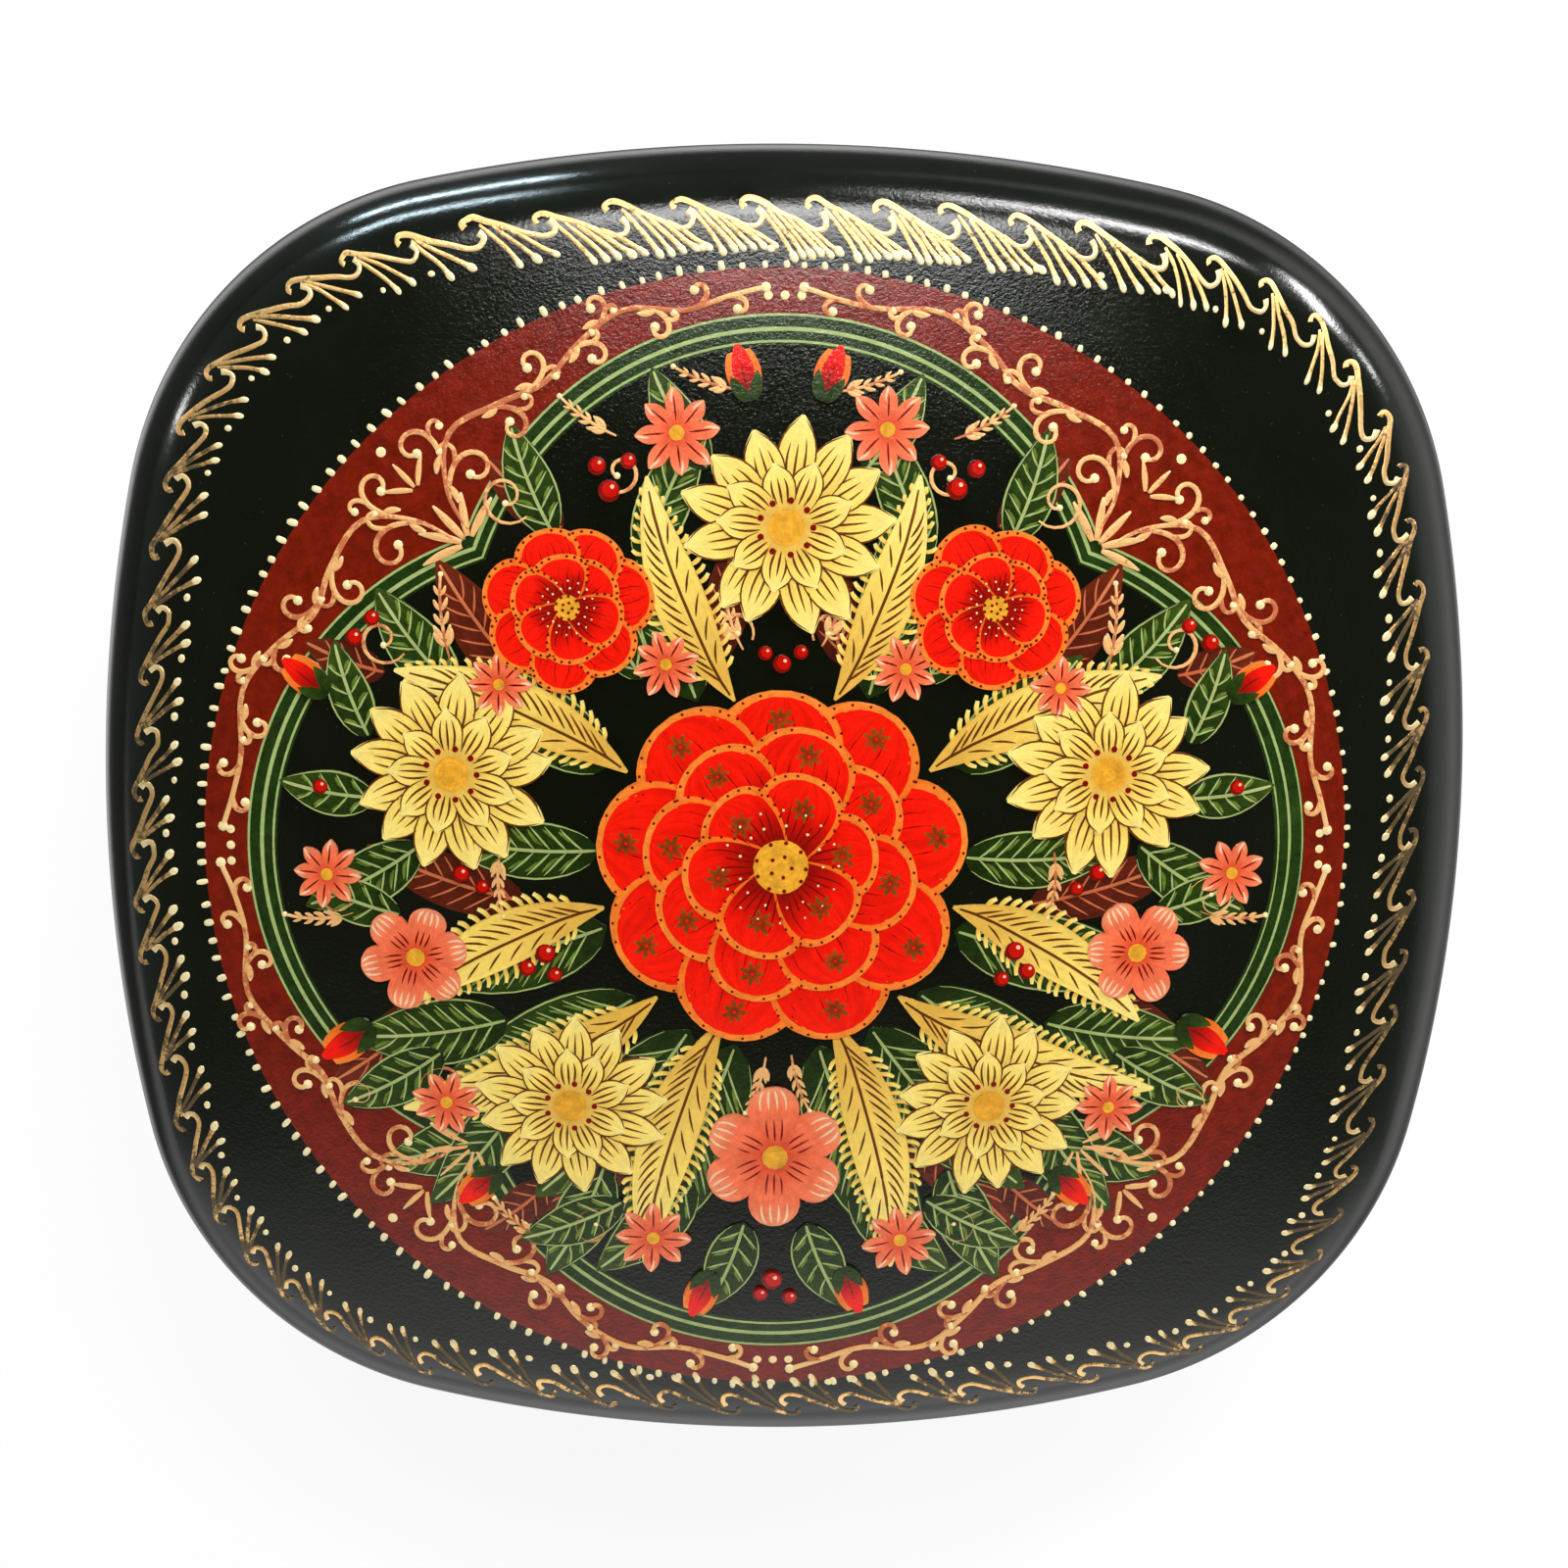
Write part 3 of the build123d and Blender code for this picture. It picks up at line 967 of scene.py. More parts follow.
# Brush widths for the lines on each flower or leaf, in mm from the middle of a line to its edge, and then how
# high over the petal those lines lie.
leafLines = {"midrib": 0.11, "vein": 0.075, "light": 0.13, "edge": 0.06, "spacing": 1.15}
plumeLines = {
    "tooth": 0.13, "midrib": 0.1, "vein": 0.09, "short": 0.08, "teeth": 1.5, "veins": 1.05, "reach": 0.55,
}
roseLines = {"shade": 0.1, "bead": 0.1, "star": 0.17, "small": 1.4, "large": 2.2}
daisyLines = {"edge": 0.06, "fold": 0.085}
blossomLines = {"shade": 0.075, "tip": 0.085, "narrow": 0.07, "narrowTip": 0.08, "small": 2.5}
over = {
    "shade": 0.002, "outline": 0.0022, "edge": 0.0025, "line": 0.003, "midrib": 0.0035, "high": 0.004,
    "bead": 0.006,
}


def addLeaf(x, y, angle, length, width, bend, lift, body="leaf", vein="leafVein"):
    lines = leafLines
    place = petalPlace(x, y, math.radians(angle), length, width, "leaf", bend)
    height = layers[body] + lift
    fill(body, place, 18, height)
    drawOn(vein, place, ((0.02, 0), (0.3, 0), (0.6, 0), (0.96, 0)), lines["midrib"], height + over["midrib"],
           evenTaper)
    count = max(4, int(length / lines["spacing"]))
    for n in range(count):
        f = 0.1 + 0.72 * n / count
        for side in (-1, 1):
            drawOn(vein, place, ((0, 0.06), (0.06, 0.4), (0.14, 0.84)), lines["vein"], height + over["line"],
                   side=side, at=f)
            if body == "leaf":
                low = medallionRng.uniform(0.2, 0.4)
                line = ((0.05, low), (0.1, low + 0.18), (0.15, 0.72))
                drawOn("leafLight", place, line, lines["light"], height + over["shade"], side=side, at=f)
    if body == "leaf":
        for side in (-1, 1):
            drawOn(vein, place, ((0.06, 0.92), (0.3, 0.94), (0.6, 0.94), (0.93, 0.85)), lines["edge"],
                   height + over["edge"], side=side)


def addRusset(x, y, angle, length, width, bend, lift):
    addLeaf(x, y, angle, length, width, bend, lift, "russet", "russetVein")


def addComb(place, count, side, half, height):
    # short strokes standing out from the edge of a plume, like the teeth of a comb
    first, last = 0.14, 0.93
    for n in range(count):
        f = first + (last - first) * (n + medallionRng.uniform(-0.12, 0.12)) / max(count - 1, 1)
        out = 1 + plumeLines["reach"] * medallionRng.uniform(0.85, 1.15) / half
        line = ((0, 0.82), (0.012, 0.5 + 0.5 * out), (0.03, out))
        drawOn("cream", place, line, plumeLines["tooth"], height, combTaper, side, f)


def addPlume(x, y, angle, length, width, bend, lift):
    # a cream leaf with combed edges
    lines = plumeLines
    place = petalPlace(x, y, math.radians(angle), length, width, "plume", bend)
    height = layers["plume"] + lift
    fill("cream", place, 20, height, rounded=True)
    for side in (-1, 1):
        addComb(place, int(length * lines["teeth"]), side, width * 0.9, height - over["line"])
    outer = 1 if bend < 0 else -1
    drawOn("brownLine", place, ((0.03, 0.1), (0.3, -0.12), (0.6, -0.12), (0.94, 0)), lines["midrib"],
           height + over["high"], evenTaper, outer)
    count = int(length * lines["veins"])
    for n in range(count):
        f = 0.1 + 0.7 * n / count
        drawOn("brownLine", place, ((0, 0.1), (0.05, 0.42), (0.11, 0.74)), lines["vein"], height + over["line"],
               side=outer, at=f)
        if n % 2:
            drawOn("brownLine", place, ((0.02, -0.34), (0.07, -0.56), (0.11, -0.78)), lines["short"],
                   height + over["line"], side=outer, at=f)


def addRosePetal(x, y, angle, length, half, rim, bend, height, mark):
    rng = medallionRng
    outer = petalPlace(x, y, angle, length, half, "rose", bend)
    inner = petalPlace(x, y, angle, length - rim, half * (1 - rim / half), "rose", bend)
    fill("redRim", outer, 16, height, rounded=True)
    fill("red", inner, 16, height + over["shade"], rounded=True)
    folds = 7
    for k in range(folds):
        e = -0.84 + 1.68 * k / (folds - 1)
        end = mark + rng.uniform(-0.05, 0.13) - 0.16 * (k % 2)
        drawOn("redShade", inner, ((0.28, e * 0.6), (0.5, e * 0.82), (end, e * 0.92)), roseLines["shade"],
               height + over["line"])
    if half < roseLines["small"]:
        return
    for f in (0.42, 0.55, 0.67, 0.78, 0.87, 0.94, 0.985):
        for side in (-1, 1):
            (ax, ay), (bx, by) = outer(f, side), inner(f, side)
            dab("redShade", (ax + bx) / 2, (ay + by) / 2, roseLines["bead"], height + over["bead"], 6, 0.0)
    if half > roseLines["large"]:
        # a small ochre star on the petal
        px, py = inner(mark, rng.uniform(-0.1, 0.1))
        points = 7
        for n in range(points):
            turn = angle + bend + n * math.pi * 2 / points
            point = petalPlace(px, py, turn, rng.uniform(0.62, 0.8), roseLines["star"], "bud", 0.0, 0.12)
            fill("star", point, 6, height + over["high"], section=strokeSection)


def addRose(x, y, radius, rows, rim):
    # a double flower: each row is (count, reach, breadth, place of the star along a petal)
    rng = medallionRng
    height = layers["rose"]
    tilt = 0.2
    for number, (count, reach, breadth, mark) in enumerate(rows):
        for n in range(count):
            angle = 2 * math.pi * (n + 0.5 * (number % 2)) / count + tilt + rng.uniform(-0.05, 0.05)
            length = radius * reach * rng.uniform(0.95, 1.04)
            half = radius * breadth * rng.uniform(0.95, 1.05)
            addRosePetal(x, y, angle, length, half, rim, rng.uniform(-0.12, 0.12), height, mark)
            height += overlap
    heart = radius * 0.17
    dab("heart", x, y, heart, height + 0.01, 20)
    # rings of dots: (radius as a share of the heart's, count, size)
    for ring, count, size in ((0.35, 5, 0.13), (0.8, 9, 0.13), (1.35, 13, 0.15), (1.85, 16, 0.13)):
        for n in range(count):
            angle = 2 * math.pi * (n + rng.uniform(-0.15, 0.15)) / count
            px, py = turned(x, y, angle, heart * ring, 0)
            dab("redShade" if ring < 1 else "gold", px, py, size * min(1, radius / 6), height + 0.02, 8)


def addDaisy(x, y, radius):
    rng = medallionRng
    height = layers["daisy"]
    # two rows of petals: (count, reach, breadth, turn)
    for count, reach, breadth, shift in ((13, 1.0, 0.19, 0.0), (9, 0.64, 0.16, 0.4)):
        half = radius * breadth
        for n in range(count):
            angle = 2 * math.pi * (n + shift) / count + rng.uniform(-0.06, 0.06)
            length = radius * reach * rng.uniform(0.93, 1.04)
            place = petalPlace(x, y, angle, length, half, "daisy", rng.uniform(-0.1, 0.3), 0.12)
            fill("cream", place, 12, height, rounded=True)
            for side in (-1, 1):
                line = ((0.3, 0.9), (0.6, 0.94), (0.85, 0.9), (0.97, 0.6))
                drawOn("brownLine", place, line, daisyLines["edge"], height + over["outline"], side=side)
            for e in (-0.45, 0.0, 0.45):
                end = 0.7 + rng.uniform(0, 0.12)
                drawOn("brownLine", place, ((0.28, e * 0.8), (0.52, e), (end, e * 0.9)), daisyLines["fold"],
                       height + over["outline"])
            height += overlap * 0.7
    dab("heart", x, y, radius * 0.19, height + 0.01, 16)
    for n in range(9):
        px, py = turned(x, y, 2 * math.pi * n / 9, radius * 0.25, 0)
        dab("redShade", px, py, radius * 0.035, height + 0.012, 8)


def addBlossom(x, y, radius):
    # five-lobed when large, and pointed like a star when small
    rng = medallionRng
    lines = blossomLines
    start = rng.uniform(0, 1)
    height = layers["blossom"]
    pointed = radius < lines["small"]
    petals = 8 if pointed else 6
    shape, breadth = ("daisy", 0.22) if pointed else ("rose", 0.36)
    for n in range(petals):
        angle = 2 * math.pi * (n + start) / petals + rng.uniform(-0.06, 0.06)
        place = petalPlace(x, y, angle, radius * rng.uniform(0.94, 1.05), radius * breadth, shape, 0.1, 0.1)
        fill("coral", place, 10, height, rounded=True)
        above = height + over["shade"]
        if pointed:
            drawOn("redShade", place, ((0.2, 0), (0.5, 0), (0.8, 0)), lines["narrow"], above)
            drawOn("coralTip", place, ((0.98, 0.1), (0.8, 0.3), (0.6, 0.3)), lines["narrowTip"], above)
        else:
            for e in (-0.6, -0.2, 0.2, 0.6):
                drawOn("coralTip", place, ((0.95, e), (0.82, e * 0.9), (0.64, e * 0.8)), lines["tip"], above)
            for e in (-0.35, 0.0, 0.35):
                drawOn("redShade", place, ((0.15, e), (0.3, e), (0.5, e * 0.9)), lines["shade"], above)
        height += overlap * 0.7
    dab("heart", x, y, radius * 0.2, height + 0.01, 12)


def addBud(x, y, angle, length):
    angle = math.radians(angle)
    height = layers["bud"]
    for side, size in ((-1, 0.9), (1, 0.9), (0, 1.0)):
        place = petalPlace(x, y, angle + 0.28 * side, length * size, length * 0.2, "bud", -0.2 * side)
        fill("redRim" if side else "red", place, 10, height)
        line = ((0.2, 0), (0.4, 0.1), (0.7, 0))
        drawOn("redShade", place, line, blossomLines["narrow"], height + over["shade"])
        height += overlap
    for side in (-1, 1):
        place = petalPlace(x, y, angle + 0.75 * side, length * 0.55, length * 0.12, "leaf", -0.6 * side)
        fill("leaf", place, 8, height)


def addBerry(x, y, radius):
    height = layers["bud"]
    dab("redShade", x, y, radius, height, 14, 0.0)
    dab("red", x + radius * 0.12, y + radius * 0.12, radius * 0.8, height + 0.005, 14, 0.0)
    dab("coralTip", x + radius * 0.3, y + radius * 0.35, radius * 0.22, height + 0.012, 8, 0.0)


def spiral(x, y, radius, start, sweep):
    # a curl that winds in from radius, starting at angle start
    shrink, steps = 0.22, 22
    path = []
    for n in range(steps + 1):
        f = n / steps
        r = radius * (1 - f) + radius * shrink * f
        path.append(turned(x, y, start + sweep * f, r, 0))
    return path


tendrilTaper = ((0, 0.6), (0.3, 1), (0.8, 0.85), (1, 0.8))


def addTendril(path, width):
    # a gold line that ends in a drop, more or less worn from one to the next
    height = layers["tendril"]
    wearAndShade = 0.45 + 0.45 * math.sin(path[0][0] * 0.9 + path[0][1] * 1.7)
    addStroke(paints["gold"], medallionAt, path, width, height, medallionRng.random(), tendrilTaper, 0.5, wearAndShade)
    dab("gold", *path[-1], width * 1.75, height * 1.2, 8)


def addComma(place, steps, bead):
    fill("gold", place, steps, layers["tendril"], section=strokeSection, bead=bead)


def addDrops(x, y, angle, count, spread, length):
    # a fan of comma strokes
    for n in range(count):
        off = n - (count - 1) / 2
        bend = 0.5 * off / max(count - 1, 1)
        turn = math.radians(angle + spread * off)
        addComma(petalPlace(x, y, turn, length, length * 0.085, "bud", bend, 0.15), 8, 0.6)


def addSprig(x, y, angle, length, bend):
    # a gold stem with comma strokes on both sides, for the gaps between the flowers
    start = math.radians(angle)
    steps, pairs = 12, 5
    path = []
    for n in range(steps + 1):
        f = n / steps
        turn = start + bend * f / 2
        path.append((x + length * f * math.cos(turn), y + length * f * math.sin(turn)))
    addTendril(path, 0.09)
    for n in range(pairs):
        f = 0.18 + 0.72 * n / pairs
        i = int(f * steps)
        heading = start + bend * f
        for side in (-1, 1):
            size = (1.25 - 0.75 * f) * length * 0.2 * medallionRng.uniform(0.9, 1.1)
            comma = petalPlace(*path[i], heading + 0.75 * side, size, size * 0.17, "bud", -0.5 * side, 0.1)
            addComma(comma, 7, 0.6)


def ringPoint(middle, u, v):
    # u runs along the ring from the middle of a corner of the frame, v outwards, in millimetres
    angle = math.radians(middle) + u / medallion["scroll"]
    r = medallion["scroll"] + v
    return r * math.cos(angle), r * math.sin(angle)


def volute(x, y, heading, length, turn):
    # a stem that bends more and more until it has turned through turn radians
    steps = 22
    path = [(x, y)]
    for n in range(steps):
        f = (n + 0.5) / steps
        angle = heading + turn * f ** 2.1
        x += math.cos(angle) * length / steps
        y += math.sin(angle) * length / steps
        path.append((x, y))
    return path


def headingAt(path, i):
    return math.atan2(path[i + 1][1] - path[i][1], path[i + 1][0] - path[i][0])


cornerScroll = {
    "line": 0.168,
    "branchLine": 0.92,
    "twigLine": 0.8,
    # along the ring from the corner's middle, and outwards from its mean circle
    "stem": (
        (0.5, -3.0), (1.2, -0.8), (3.2, 1.3), (6.0, 1.2), (8.6, 0.9), (11.0, 2.1), (13.6, 3.0), (16.4, 2.3),
        (18.6, 2.6), (20.3, 3.1),
    ),
    # place along the stem, side, length, radians turned
    "branches": (
        (0.1, -1, 5.6, 5.6), (0.17, 1, 4.6, 5.2), (0.33, -1, 4.8, 5.8), (0.42, 1, 4.0, 5.2),
        (0.55, -1, 3.0, 4.8), (0.62, 1, 2.8, 4.8), (0.74, -1, 3.0, 5.0), (0.83, 1, 2.2, 4.2),
        (0.93, -1, 1.8, 4.2),
    ),
    # a branch longer than this has a twig and a comma stroke of its own
    "longBranch": 2.7,
    # fans of comma strokes in the middle: (outwards, count, degrees between them, length)
    "fans": ((-3.6, 5, 32, 2.7), (0.2, 3, 42, 1.9)),
}


def addCornerScroll(middle):
    # gold scrollwork in one of the four maroon corners, alike on both sides of its middle
    rng = medallionRng
    line = cornerScroll["line"]
    for side in (-1, 1):
        knots = [(u + rng.uniform(-0.12, 0.12), v + rng.uniform(-0.1, 0.1)) for u, v in cornerScroll["stem"]]
        stem = [ringPoint(middle, side * u, v) for u, v in smoothPath(knots, 5)]
        addTendril(stem, line)
        for place, way, length, turn in cornerScroll["branches"]:
            i = int(place * (len(stem) - 2))
            curl = -way * side
            heading = headingAt(stem, i) + 0.25 * curl
            branch = volute(*stem[i], heading, length * rng.uniform(0.92, 1.08), turn * curl)
            addTendril(branch, line * cornerScroll["branchLine"])
            if length > cornerScroll["longBranch"]:
                j = 7
                heading = headingAt(branch, j)
                twig = volute(*branch[j], heading - 0.3 * curl, length * 0.36, -3.8 * curl)
                addTendril(twig, line * cornerScroll["twigLine"])
                comma = petalPlace(*branch[3], heading + 1.9 * curl, 1.0, 0.19, "bud", 0.5 * curl, 0.1)
                addComma(comma, 7, 0.8)
    for v, count, spread, length in cornerScroll["fans"]:
        addDrops(*ringPoint(middle, 0, v), middle, count, spread, length)
    dab("gold", *ringPoint(middle, 0, 3.0), 0.3, layers["drop"], 10)
    for u in (-0.8, 0, 0.8):
        dab("gold", *ringPoint(middle + 45, u, 2.6), 0.26, layers["drop"], 10)


def mirrored(action, x, y, *rest, angle=None, **more):
    # the same thing on both sides of the medallion, a little unlike as hand work is
    rng = medallionRng
    for side in (1, -1) if x else (1,):
        px = side * x + rng.uniform(-0.2, 0.2)
        py = y + rng.uniform(-0.2, 0.2)
        if angle is None:
            action(px, py, *rest, **more)
            continue
        turn = angle if side > 0 else 180 - angle
        bent = dict(more)
        if "bend" in bent:
            bent["bend"] *= side
        action(px, py, turn + rng.uniform(-3, 3), *rest, **bent)


bouquet = {
    # x, y, angle, length, half breadth
    "russets": (
        (12.6, 8.6, 44, 9.0, 1.7), (13.6, -2.6, 8, 9.0, 1.6), (6.6, -12.6, -60, 11.0, 1.9),
        (17.6, -7.6, -48, 8.6, 1.6), (3.2, 10.4, 96, 8.0, 1.3), (11.4, 17.6, 34, 5.4, 1.2),
        (12.4, -18.4, -48, 5.0, 1.2), (21.0, 9.6, 10, 4.6, 1.1),
    ),
    "leaves": (
        (4.6, 8.6, 70, 10.5, 1.8), (9.2, 5.0, 30, 9.0, 2.0), (9.8, 0.2, -5, 8.5, 1.7),
        (9.4, -4.0, -22, 11.5, 2.3), (7.6, -7.6, -36, 11.5, 2.4), (5.0, -9.6, -56, 13.0, 2.6),
        (2.2, -10.5, -74, 15.0, 2.6), (14.6, -9.4, -14, 8.6, 2.0), (14.6, -15.5, -30, 7.4, 1.8),
        (17.0, 8.8, 40, 7.0, 1.6), (19.2, 0.4, -40, 7.2, 1.6), (12.0, 17.0, 62, 6.2, 1.4),
        (7.6, 15.6, 104, 8.4, 1.5), (4.0, 20.6, 50, 6.0, 1.3), (22.0, 6.0, 64, 5.4, 1.2),
        (21.6, 3.0, 0, 5.2, 1.3), (9.4, -17.6, -74, 7.4, 1.7), (4.4, -18.6, -52, 7.6, 1.7),
        (1.6, -21.0, -78, 5.6, 1.5), (13.6, -13.0, -62, 9.2, 1.9), (7.4, 9.4, 52, 6.6, 1.3),
        (20.4, -3.4, 12, 5.6, 1.3), (18.4, -11.2, -40, 6.4, 1.5), (8.4, -19.6, -34, 6.2, 1.4),
    ),
    # x, y, angle, length, half breadth, bend
    "plumes": (
        (8.0, 4.6, 36, 13.4, 1.5, -0.5), (9.4, -2.8, -14, 12.4, 1.5, -0.55), (6.6, -7.6, -40, 15.4, 1.6, 0.55),
        (3.0, -9.0, -60, 15.0, 1.6, -0.5), (2.6, 8.6, 54, 12.6, 1.4, 0.5),
    ),
    # x, y, angle, length, bend
    "sprigs": (
        (17.4, 10.2, 74, 4.6, 0.4), (22.8, -3.4, -24, 3.8, 0.6), (2.0, 11.2, 60, 4.0, 0.6),
        (14.8, 0.2, -80, 3.6, -0.5), (0.6, -11.0, -84, 3.4, 0.4), (9.0, 22.4, 20, 3.6, 0.4),
        (2.6, 24.6, 8, 3.6, 0.4), (13.2, -22.0, 30, 3.4, 0.5),
    ),
    # x, y, size, first angle, sweep
    "curls": (
        (14.6, 19.0, 1.5, -2.4, 7.2), (21.2, 11.4, 1.4, -2.6, 7.0), (8.6, 20.4, 1.2, -0.6, -6.6),
        (14.2, 9.4, 1.2, 2.0, -6.8), (23.6, -2.6, 1.4, 2.6, -7.0), (18.4, -13.4, 1.4, 2.2, -7.0),
        (10.0, -21.4, 1.4, 2.6, -7.0), (2.6, 12.2, 1.1, 3.6, -6.2),
    ),
    # x, y, angle, length
    "buds": (
        (21.8, -9.6, -34, 3.4), (24.2, 8.4, 34, 3.0), (1.9, 24.2, 72, 3.0), (3.6, -23.9, -66, 3.0),
        (15.2, -18.0, -46, 3.0),
    ),
    # x, y, radius
    "berries": (
        (9.0, 19.6, 0.6), (10.0, 20.6, 0.5), (8.3, 20.9, 0.45), (22.8, 11.6, 0.5), (21.6, 12.4, 0.45),
        (12.6, -5.2, 0.6), (13.6, -6.2, 0.5), (12.2, -6.6, 0.45), (24.8, 3.6, 0.45), (0.0, 10.4, 0.5),
        (0.9, 11.2, 0.4), (0.0, -24.6, 0.6), (0.9, -25.5, 0.45), (17.0, -1.0, 0.5), (16.0, -1.8, 0.42),
    ),
    "blossoms": (
        (0, -17.0, 4.0), (19.6, -5.6, 2.9), (5.6, 22.6, 2.3), (24.4, -1.2, 1.9), (6.8, -22.0, 2.1),
        (14.8, 9.0, 1.7), (6.3, 10.2, 1.8), (18.2, -14.2, 1.9),
    ),
    "daisies": ((0, 17.4, 5.7), (17.6, 4.4, 5.5), (11.4, -13.9, 5.2)),
    "smallRoses": ((11.4, 13.4, 4.5),),
    "smallRoseRows": ((7, 1.0, 0.42, 0.84), (6, 0.66, 0.34, 0.66)),
    "smallRoseRim": 0.26,
    "largeRose": (0, -0.4, 9.8),
    "largeRoseRows": ((9, 1.0, 0.36, 0.87), (8, 0.76, 0.3, 0.84), (6, 0.52, 0.25, 0.68)),
    "largeRoseRim": 0.33,
}


def paintFrame():
    band, radius = medallion["band"], medallion["radius"]
    addRing(paints["maroon"], lambda a: frameRadius(a) + band * 0.5, lambda a: radius, 8, layers["maroon"])
    addRing(paints["greenBand"], frameRadius, lambda a: frameRadius(a) + band, 3, layers["band"])
    points = 360
    # three pale lines: (place across the band, half breadth)
    for share, width in ((0.14, 0.08), (0.5, 0.13), (0.92, 0.08)):
        line = []
        for n in range(points + 1):
            angle = 2 * math.pi * n / points
            line.append(turned(0, 0, angle, frameRadius(angle) + band * share, 0))
        addStroke(paints["paleLine"], medallionAt, line, width, layers["bandLine"], share, evenTaper)


def paintDashes():
    # the pale ticks round the medallion's edge, longer on the left
    rng = medallionRng
    radius = medallion["radius"]
    taper = ((0, 0.6), (0.3, 1), (0.7, 1), (1, 0.6))
    steps = 4
    count = int(2 * math.pi * radius / medallion["dash"])
    for n in range(count):
        angle = 2 * math.pi * (n + rng.uniform(-0.12, 0.12)) / count
        lean = rng.uniform(0.0, 0.4)
        length = (0.42 - 0.12 * math.cos(angle)) * rng.uniform(0.75, 1.2)
        x0, y0 = turned(0, 0, angle, radius - 0.1, 0)
        x1, y1 = turned(x0, y0, angle + lean, length, 0)
        path = [(x0 + (x1 - x0) * k / steps, y0 + (y1 - y0) * k / steps) for k in range(steps + 1)]
        width = 0.18 * rng.uniform(0.85, 1.15)
        addStroke(paints["dash"], medallionAt, path, width, layers["dash"], rng.random(), taper)


def mixPaint(name):
    title, slot, root, body, tip, *values = paintBox[name]
    mix = leafGoldMaterial if name == "gold" else paintMaterial
    return mix(title, srgb(*root), srgb(*body), srgb(*tip), *values), slot


def buildMedallion():
    print("Painting the medallion")
    paintFrame()
    for middle in (45, 135, 225, 315):
        addCornerScroll(middle)
    paintDashes()
    for action, key in ((addRusset, "russets"), (addLeaf, "leaves")):
        for number, (x, y, angle, length, width) in enumerate(bouquet[key]):
            mirrored(action, x, y, length, width, angle=angle, bend=0.3, lift=number * overlap)
    for x, y, angle, length, bend in bouquet["sprigs"]:
        mirrored(addSprig, x, y, length, angle=angle, bend=bend)
    for curl in bouquet["curls"]:
        for side in (1, -1):
            addTendril([(side * px, py) for px, py in spiral(*curl)], 0.11)
    for number, (x, y, angle, length, width, bend) in enumerate(bouquet["plumes"]):
        mirrored(addPlume, x, y, length, width, angle=angle, bend=bend, lift=number * overlap)
    for x, y, size in bouquet["berries"]:
        mirrored(addBerry, x, y, size)
    for x, y, angle, length in bouquet["buds"]:
        mirrored(addBud, x, y, length, angle=angle)
    for action, key in ((addBlossom, "blossoms"), (addDaisy, "daisies")):
        for x, y, size in bouquet[key]:
            mirrored(action, x, y, size)
    for x, y, size in bouquet["smallRoses"]:
        mirrored(addRose, x, y, size, bouquet["smallRoseRows"], bouquet["smallRoseRim"])
    addRose(*bouquet["largeRose"], bouquet["largeRoseRows"], bouquet["largeRoseRim"])
    print("Mixing the paints")
    for name, paint in paints.items():
        finishPaint(paint, name + "Paint", *mixPaint(name), raised.get(name, 0.0))


buildMedallion()


# Floor, lamps and camera

studio = {
    # (height of the direction, from 0 level to 1 straight up; brightness; share of red and of blue in it)
    "sky": (
        (0.0, 0.26, 0.86, 0.96), (0.35, 0.24, 0.86, 0.94), (0.7, 0.16, 0.92, 0.8), (0.88, 0.1, 0.98, 0.6),
        (1.0, 0.05, 1.0, 0.5),
    ),
    # glows low in the sky, in front and on the right: where each begins and is full, and its brightness
    "frontGlow": (-0.5, -0.8, 0, 1.25),
    "sideGlow": (0.84, 0.98, 0, 0.55),
    "floorSize": 4.0,
    "floorColour": 0.11,
    "floorRoughness": 0.8,
    "floorShine": 0.1,
    "floorLift": 0.9,
    # the white card under the box as the lacquer mirrors it: its inner and outer edge in mm, and its
    # brightness from front to back and towards the right
    "cardInner": (43, 52, 0, 1),
    "cardOuter": (56, 68, 1, 0),
    "cardAlong": (-60, 60, 0.28, 1.3),
    "cardRight": (5, 40, 1, 0.35),
    # the floor beyond it, in front and on the right
    "floorFront": (-45, -90, 0, 0.75),
    "floorRight": (58, 110, 0, 0.75),
}

daylight = (0.72, 0.92, 1.0)
# Degrees from straight up, and clockwise from the hinge side as seen from above; sizes and distances in metres.
lamps = {
    "softbox": {"tilt": 36.5, "turn": 3, "width": 0.46, "height": 0.16, "radiance": 18.0},
    "strip": {"tilt": 63, "turn": 26, "width": 0.34, "height": 0.055, "radiance": 45.0, "spin": -4},
    "slit": {"tilt": 76, "turn": 51.5, "width": 0.05, "height": 0.2, "radiance": 60.0, "spin": 32},
    "slitEnd": {"tilt": 77.5, "turn": 62.5, "width": 0.04, "height": 0.035, "radiance": 60.0},
    "windowPaneLow": {"tilt": 100.5, "turn": -23, "width": 0.04, "height": 0.0045, "radiance": 60.0,
                      "distance": 0.13, "shape": "RECTANGLE", "colour": daylight},
    "windowPaneHigh": {"tilt": 82, "turn": -25, "width": 0.23, "height": 0.026, "radiance": 60.0,
                       "shape": "RECTANGLE", "colour": daylight},
    "glint": {"tilt": 80, "turn": -69, "width": 0.04, "height": 0.05, "radiance": 60.0},
}

# The camera, in millimetres and degrees, as fitted to the picture.
cameraSet = {
    "place": (-7.09, 32.54, 186.45),
    "aim": (-0.238, 1.044, 24.0),
    "roll": -0.662,
    "lens": 67.02,
    "sensor": 36,
    "clipStart": 0.005,
}


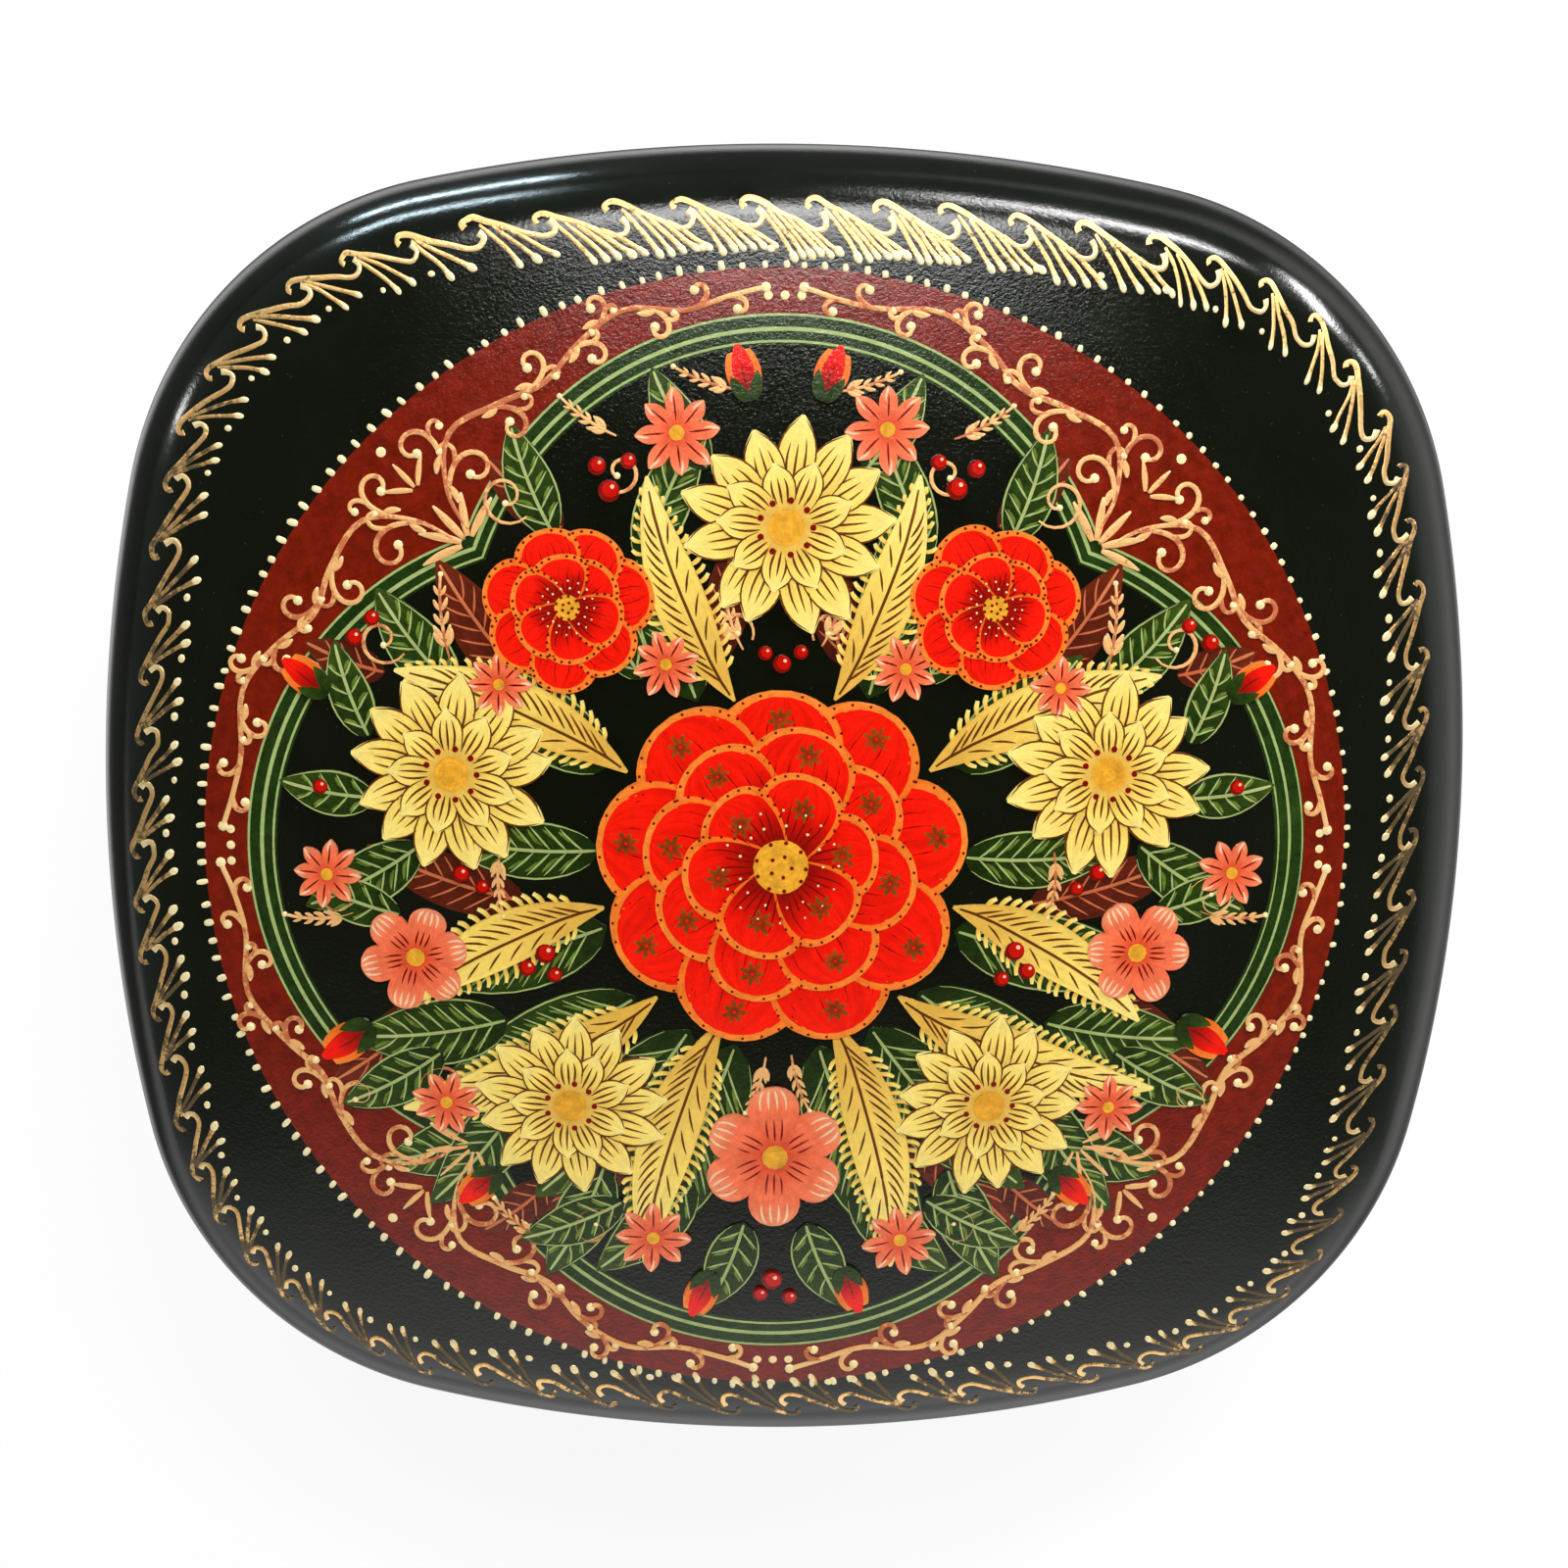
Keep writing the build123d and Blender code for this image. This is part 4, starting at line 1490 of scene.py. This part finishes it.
def buildFloor():
    mesh = bpy.data.meshes.new("floor")
    side = studio["floorSize"]
    corners = [(-side, -side, 0), (side, -side, 0), (side, side, 0), (-side, side, 0)]
    mesh.from_pydata(corners, [], [(0, 1, 2, 3)])
    floor = bpy.data.objects.new("floor", mesh)
    bpy.context.scene.collection.objects.link(floor)
    material, tree, shader = newMaterial("whiteCard")
    level = studio["floorColour"]
    shader.inputs["Base Color"].default_value = (level, level, level, 1)
    shader.inputs["Roughness"].default_value = studio["floorRoughness"]
    shader.inputs["Specular IOR Level"].default_value = studio["floorShine"]
    place = axes(tree, millimetres(tree))
    x, y = place["X"], place["Y"]
    # distance from the box's middle, on a rounded square
    powers = [combine(tree, "POWER", combine(tree, "ABSOLUTE", axis), 4.0) for axis in (x, y)]
    away = combine(tree, "POWER", combine(tree, "ADD", *powers), 0.25)
    card = 1.0
    for source, key in ((away, "cardInner"), (away, "cardOuter"), (y, "cardAlong"), (x, "cardRight")):
        card = combine(tree, "MULTIPLY", card, mapTo(tree, source, *studio[key]))
    for source, key in ((y, "floorFront"), (x, "floorRight")):
        card = combine(tree, "MAXIMUM", card, mapTo(tree, source, *studio[key]))
    rays = addNode(tree, "ShaderNodeLightPath").outputs
    reflected = combine(tree, "MULTIPLY", card, rays["Is Glossy Ray"])
    seen = combine(tree, "MAXIMUM", rays["Is Camera Ray"], rays["Is Transmission Ray"])
    seen = combine(tree, "MULTIPLY", seen, studio["floorLift"])
    shader.inputs["Emission Color"].default_value = (1, 1, 1, 1)
    tree.links.new(combine(tree, "MAXIMUM", seen, reflected), shader.inputs["Emission Strength"])
    mesh.materials.append(material)


def buildWorld():
    world = bpy.data.worlds.new("studio")
    bpy.context.scene.world = world
    world.use_nodes = True
    tree = world.node_tree
    background = tree.nodes["Background"]
    towards = axes(tree, addNode(tree, "ShaderNodeTexCoord").outputs["Generated"])
    sky = addNode(tree, "ShaderNodeValToRGB")
    steps = sky.color_ramp.elements
    for number, (height, level, red, blue) in enumerate(studio["sky"]):
        step = steps[number] if number < 2 else steps.new(height)
        step.position = height
        step.color = (level * red, level, level * blue, 1)
    tree.links.new(towards["Z"], sky.inputs["Fac"])
    front = mapTo(tree, towards["Y"], *studio["frontGlow"])
    side = mapTo(tree, towards["X"], *studio["sideGlow"])
    both = addNode(tree, "ShaderNodeVectorMath", operation="ADD")
    tree.links.new(sky.outputs["Color"], both.inputs[0])
    tree.links.new(combine(tree, "MAXIMUM", front, side), both.inputs[1])
    rays = addNode(tree, "ShaderNodeLightPath").outputs
    white = (1, 1, 1, 1)
    tree.links.new(mixColour(tree, rays["Is Camera Ray"], both.outputs[0], white), background.inputs["Color"])


def addLamp(name, tilt, turn, width, height, radiance, distance=0.7, spin=0, shape="ELLIPSE", colour=(1, 1, 1)):
    a, b = math.radians(tilt), math.radians(turn)
    towards = Vector((math.sin(a) * math.sin(b), math.sin(a) * math.cos(b), math.cos(a)))
    lamp = bpy.data.lights.new(name, "AREA")
    lamp.shape = shape
    lamp.color = colour
    lamp.size = width
    lamp.size_y = height
    lamp.energy = radiance * width * height * math.pi * (math.pi / 4 if shape == "ELLIPSE" else 1)
    holder = bpy.data.objects.new(name, lamp)
    holder.location = towards * distance + Vector((0, 0, 0.03))
    holder.rotation_mode = "QUATERNION"
    holder.rotation_quaternion = towards.to_track_quat("Z", "Y") @ Quaternion((0, 0, 1), math.radians(spin))
    holder.visible_camera = False
    bpy.context.scene.collection.objects.link(holder)


def buildCamera():
    aim = Vector(cameraSet["aim"]) * mm
    place = Vector(cameraSet["place"]) * mm
    roll = math.radians(cameraSet["roll"])
    back = (place - aim).normalized()
    up = (Vector((0, 1, 0)) - back * back.y).normalized()
    right = up.cross(back)
    up = up * math.cos(roll) + right * math.sin(roll)
    right = up.cross(back)
    camera = bpy.data.cameras.new("camera")
    camera.lens = cameraSet["lens"]
    camera.sensor_width = cameraSet["sensor"]
    camera.clip_start = cameraSet["clipStart"]
    holder = bpy.data.objects.new("camera", camera)
    holder.matrix_world = Matrix((
        (right.x, up.x, back.x, place.x),
        (right.y, up.y, back.y, place.y),
        (right.z, up.z, back.z, place.z),
        (0, 0, 0, 1)))
    bpy.context.scene.collection.objects.link(holder)
    bpy.context.scene.camera = holder


print("Setting up the studio")
buildFloor()
buildWorld()
for name, values in lamps.items():
    addLamp(name, **values)
buildCamera()
bpy.context.scene.view_settings.view_transform = "Standard"
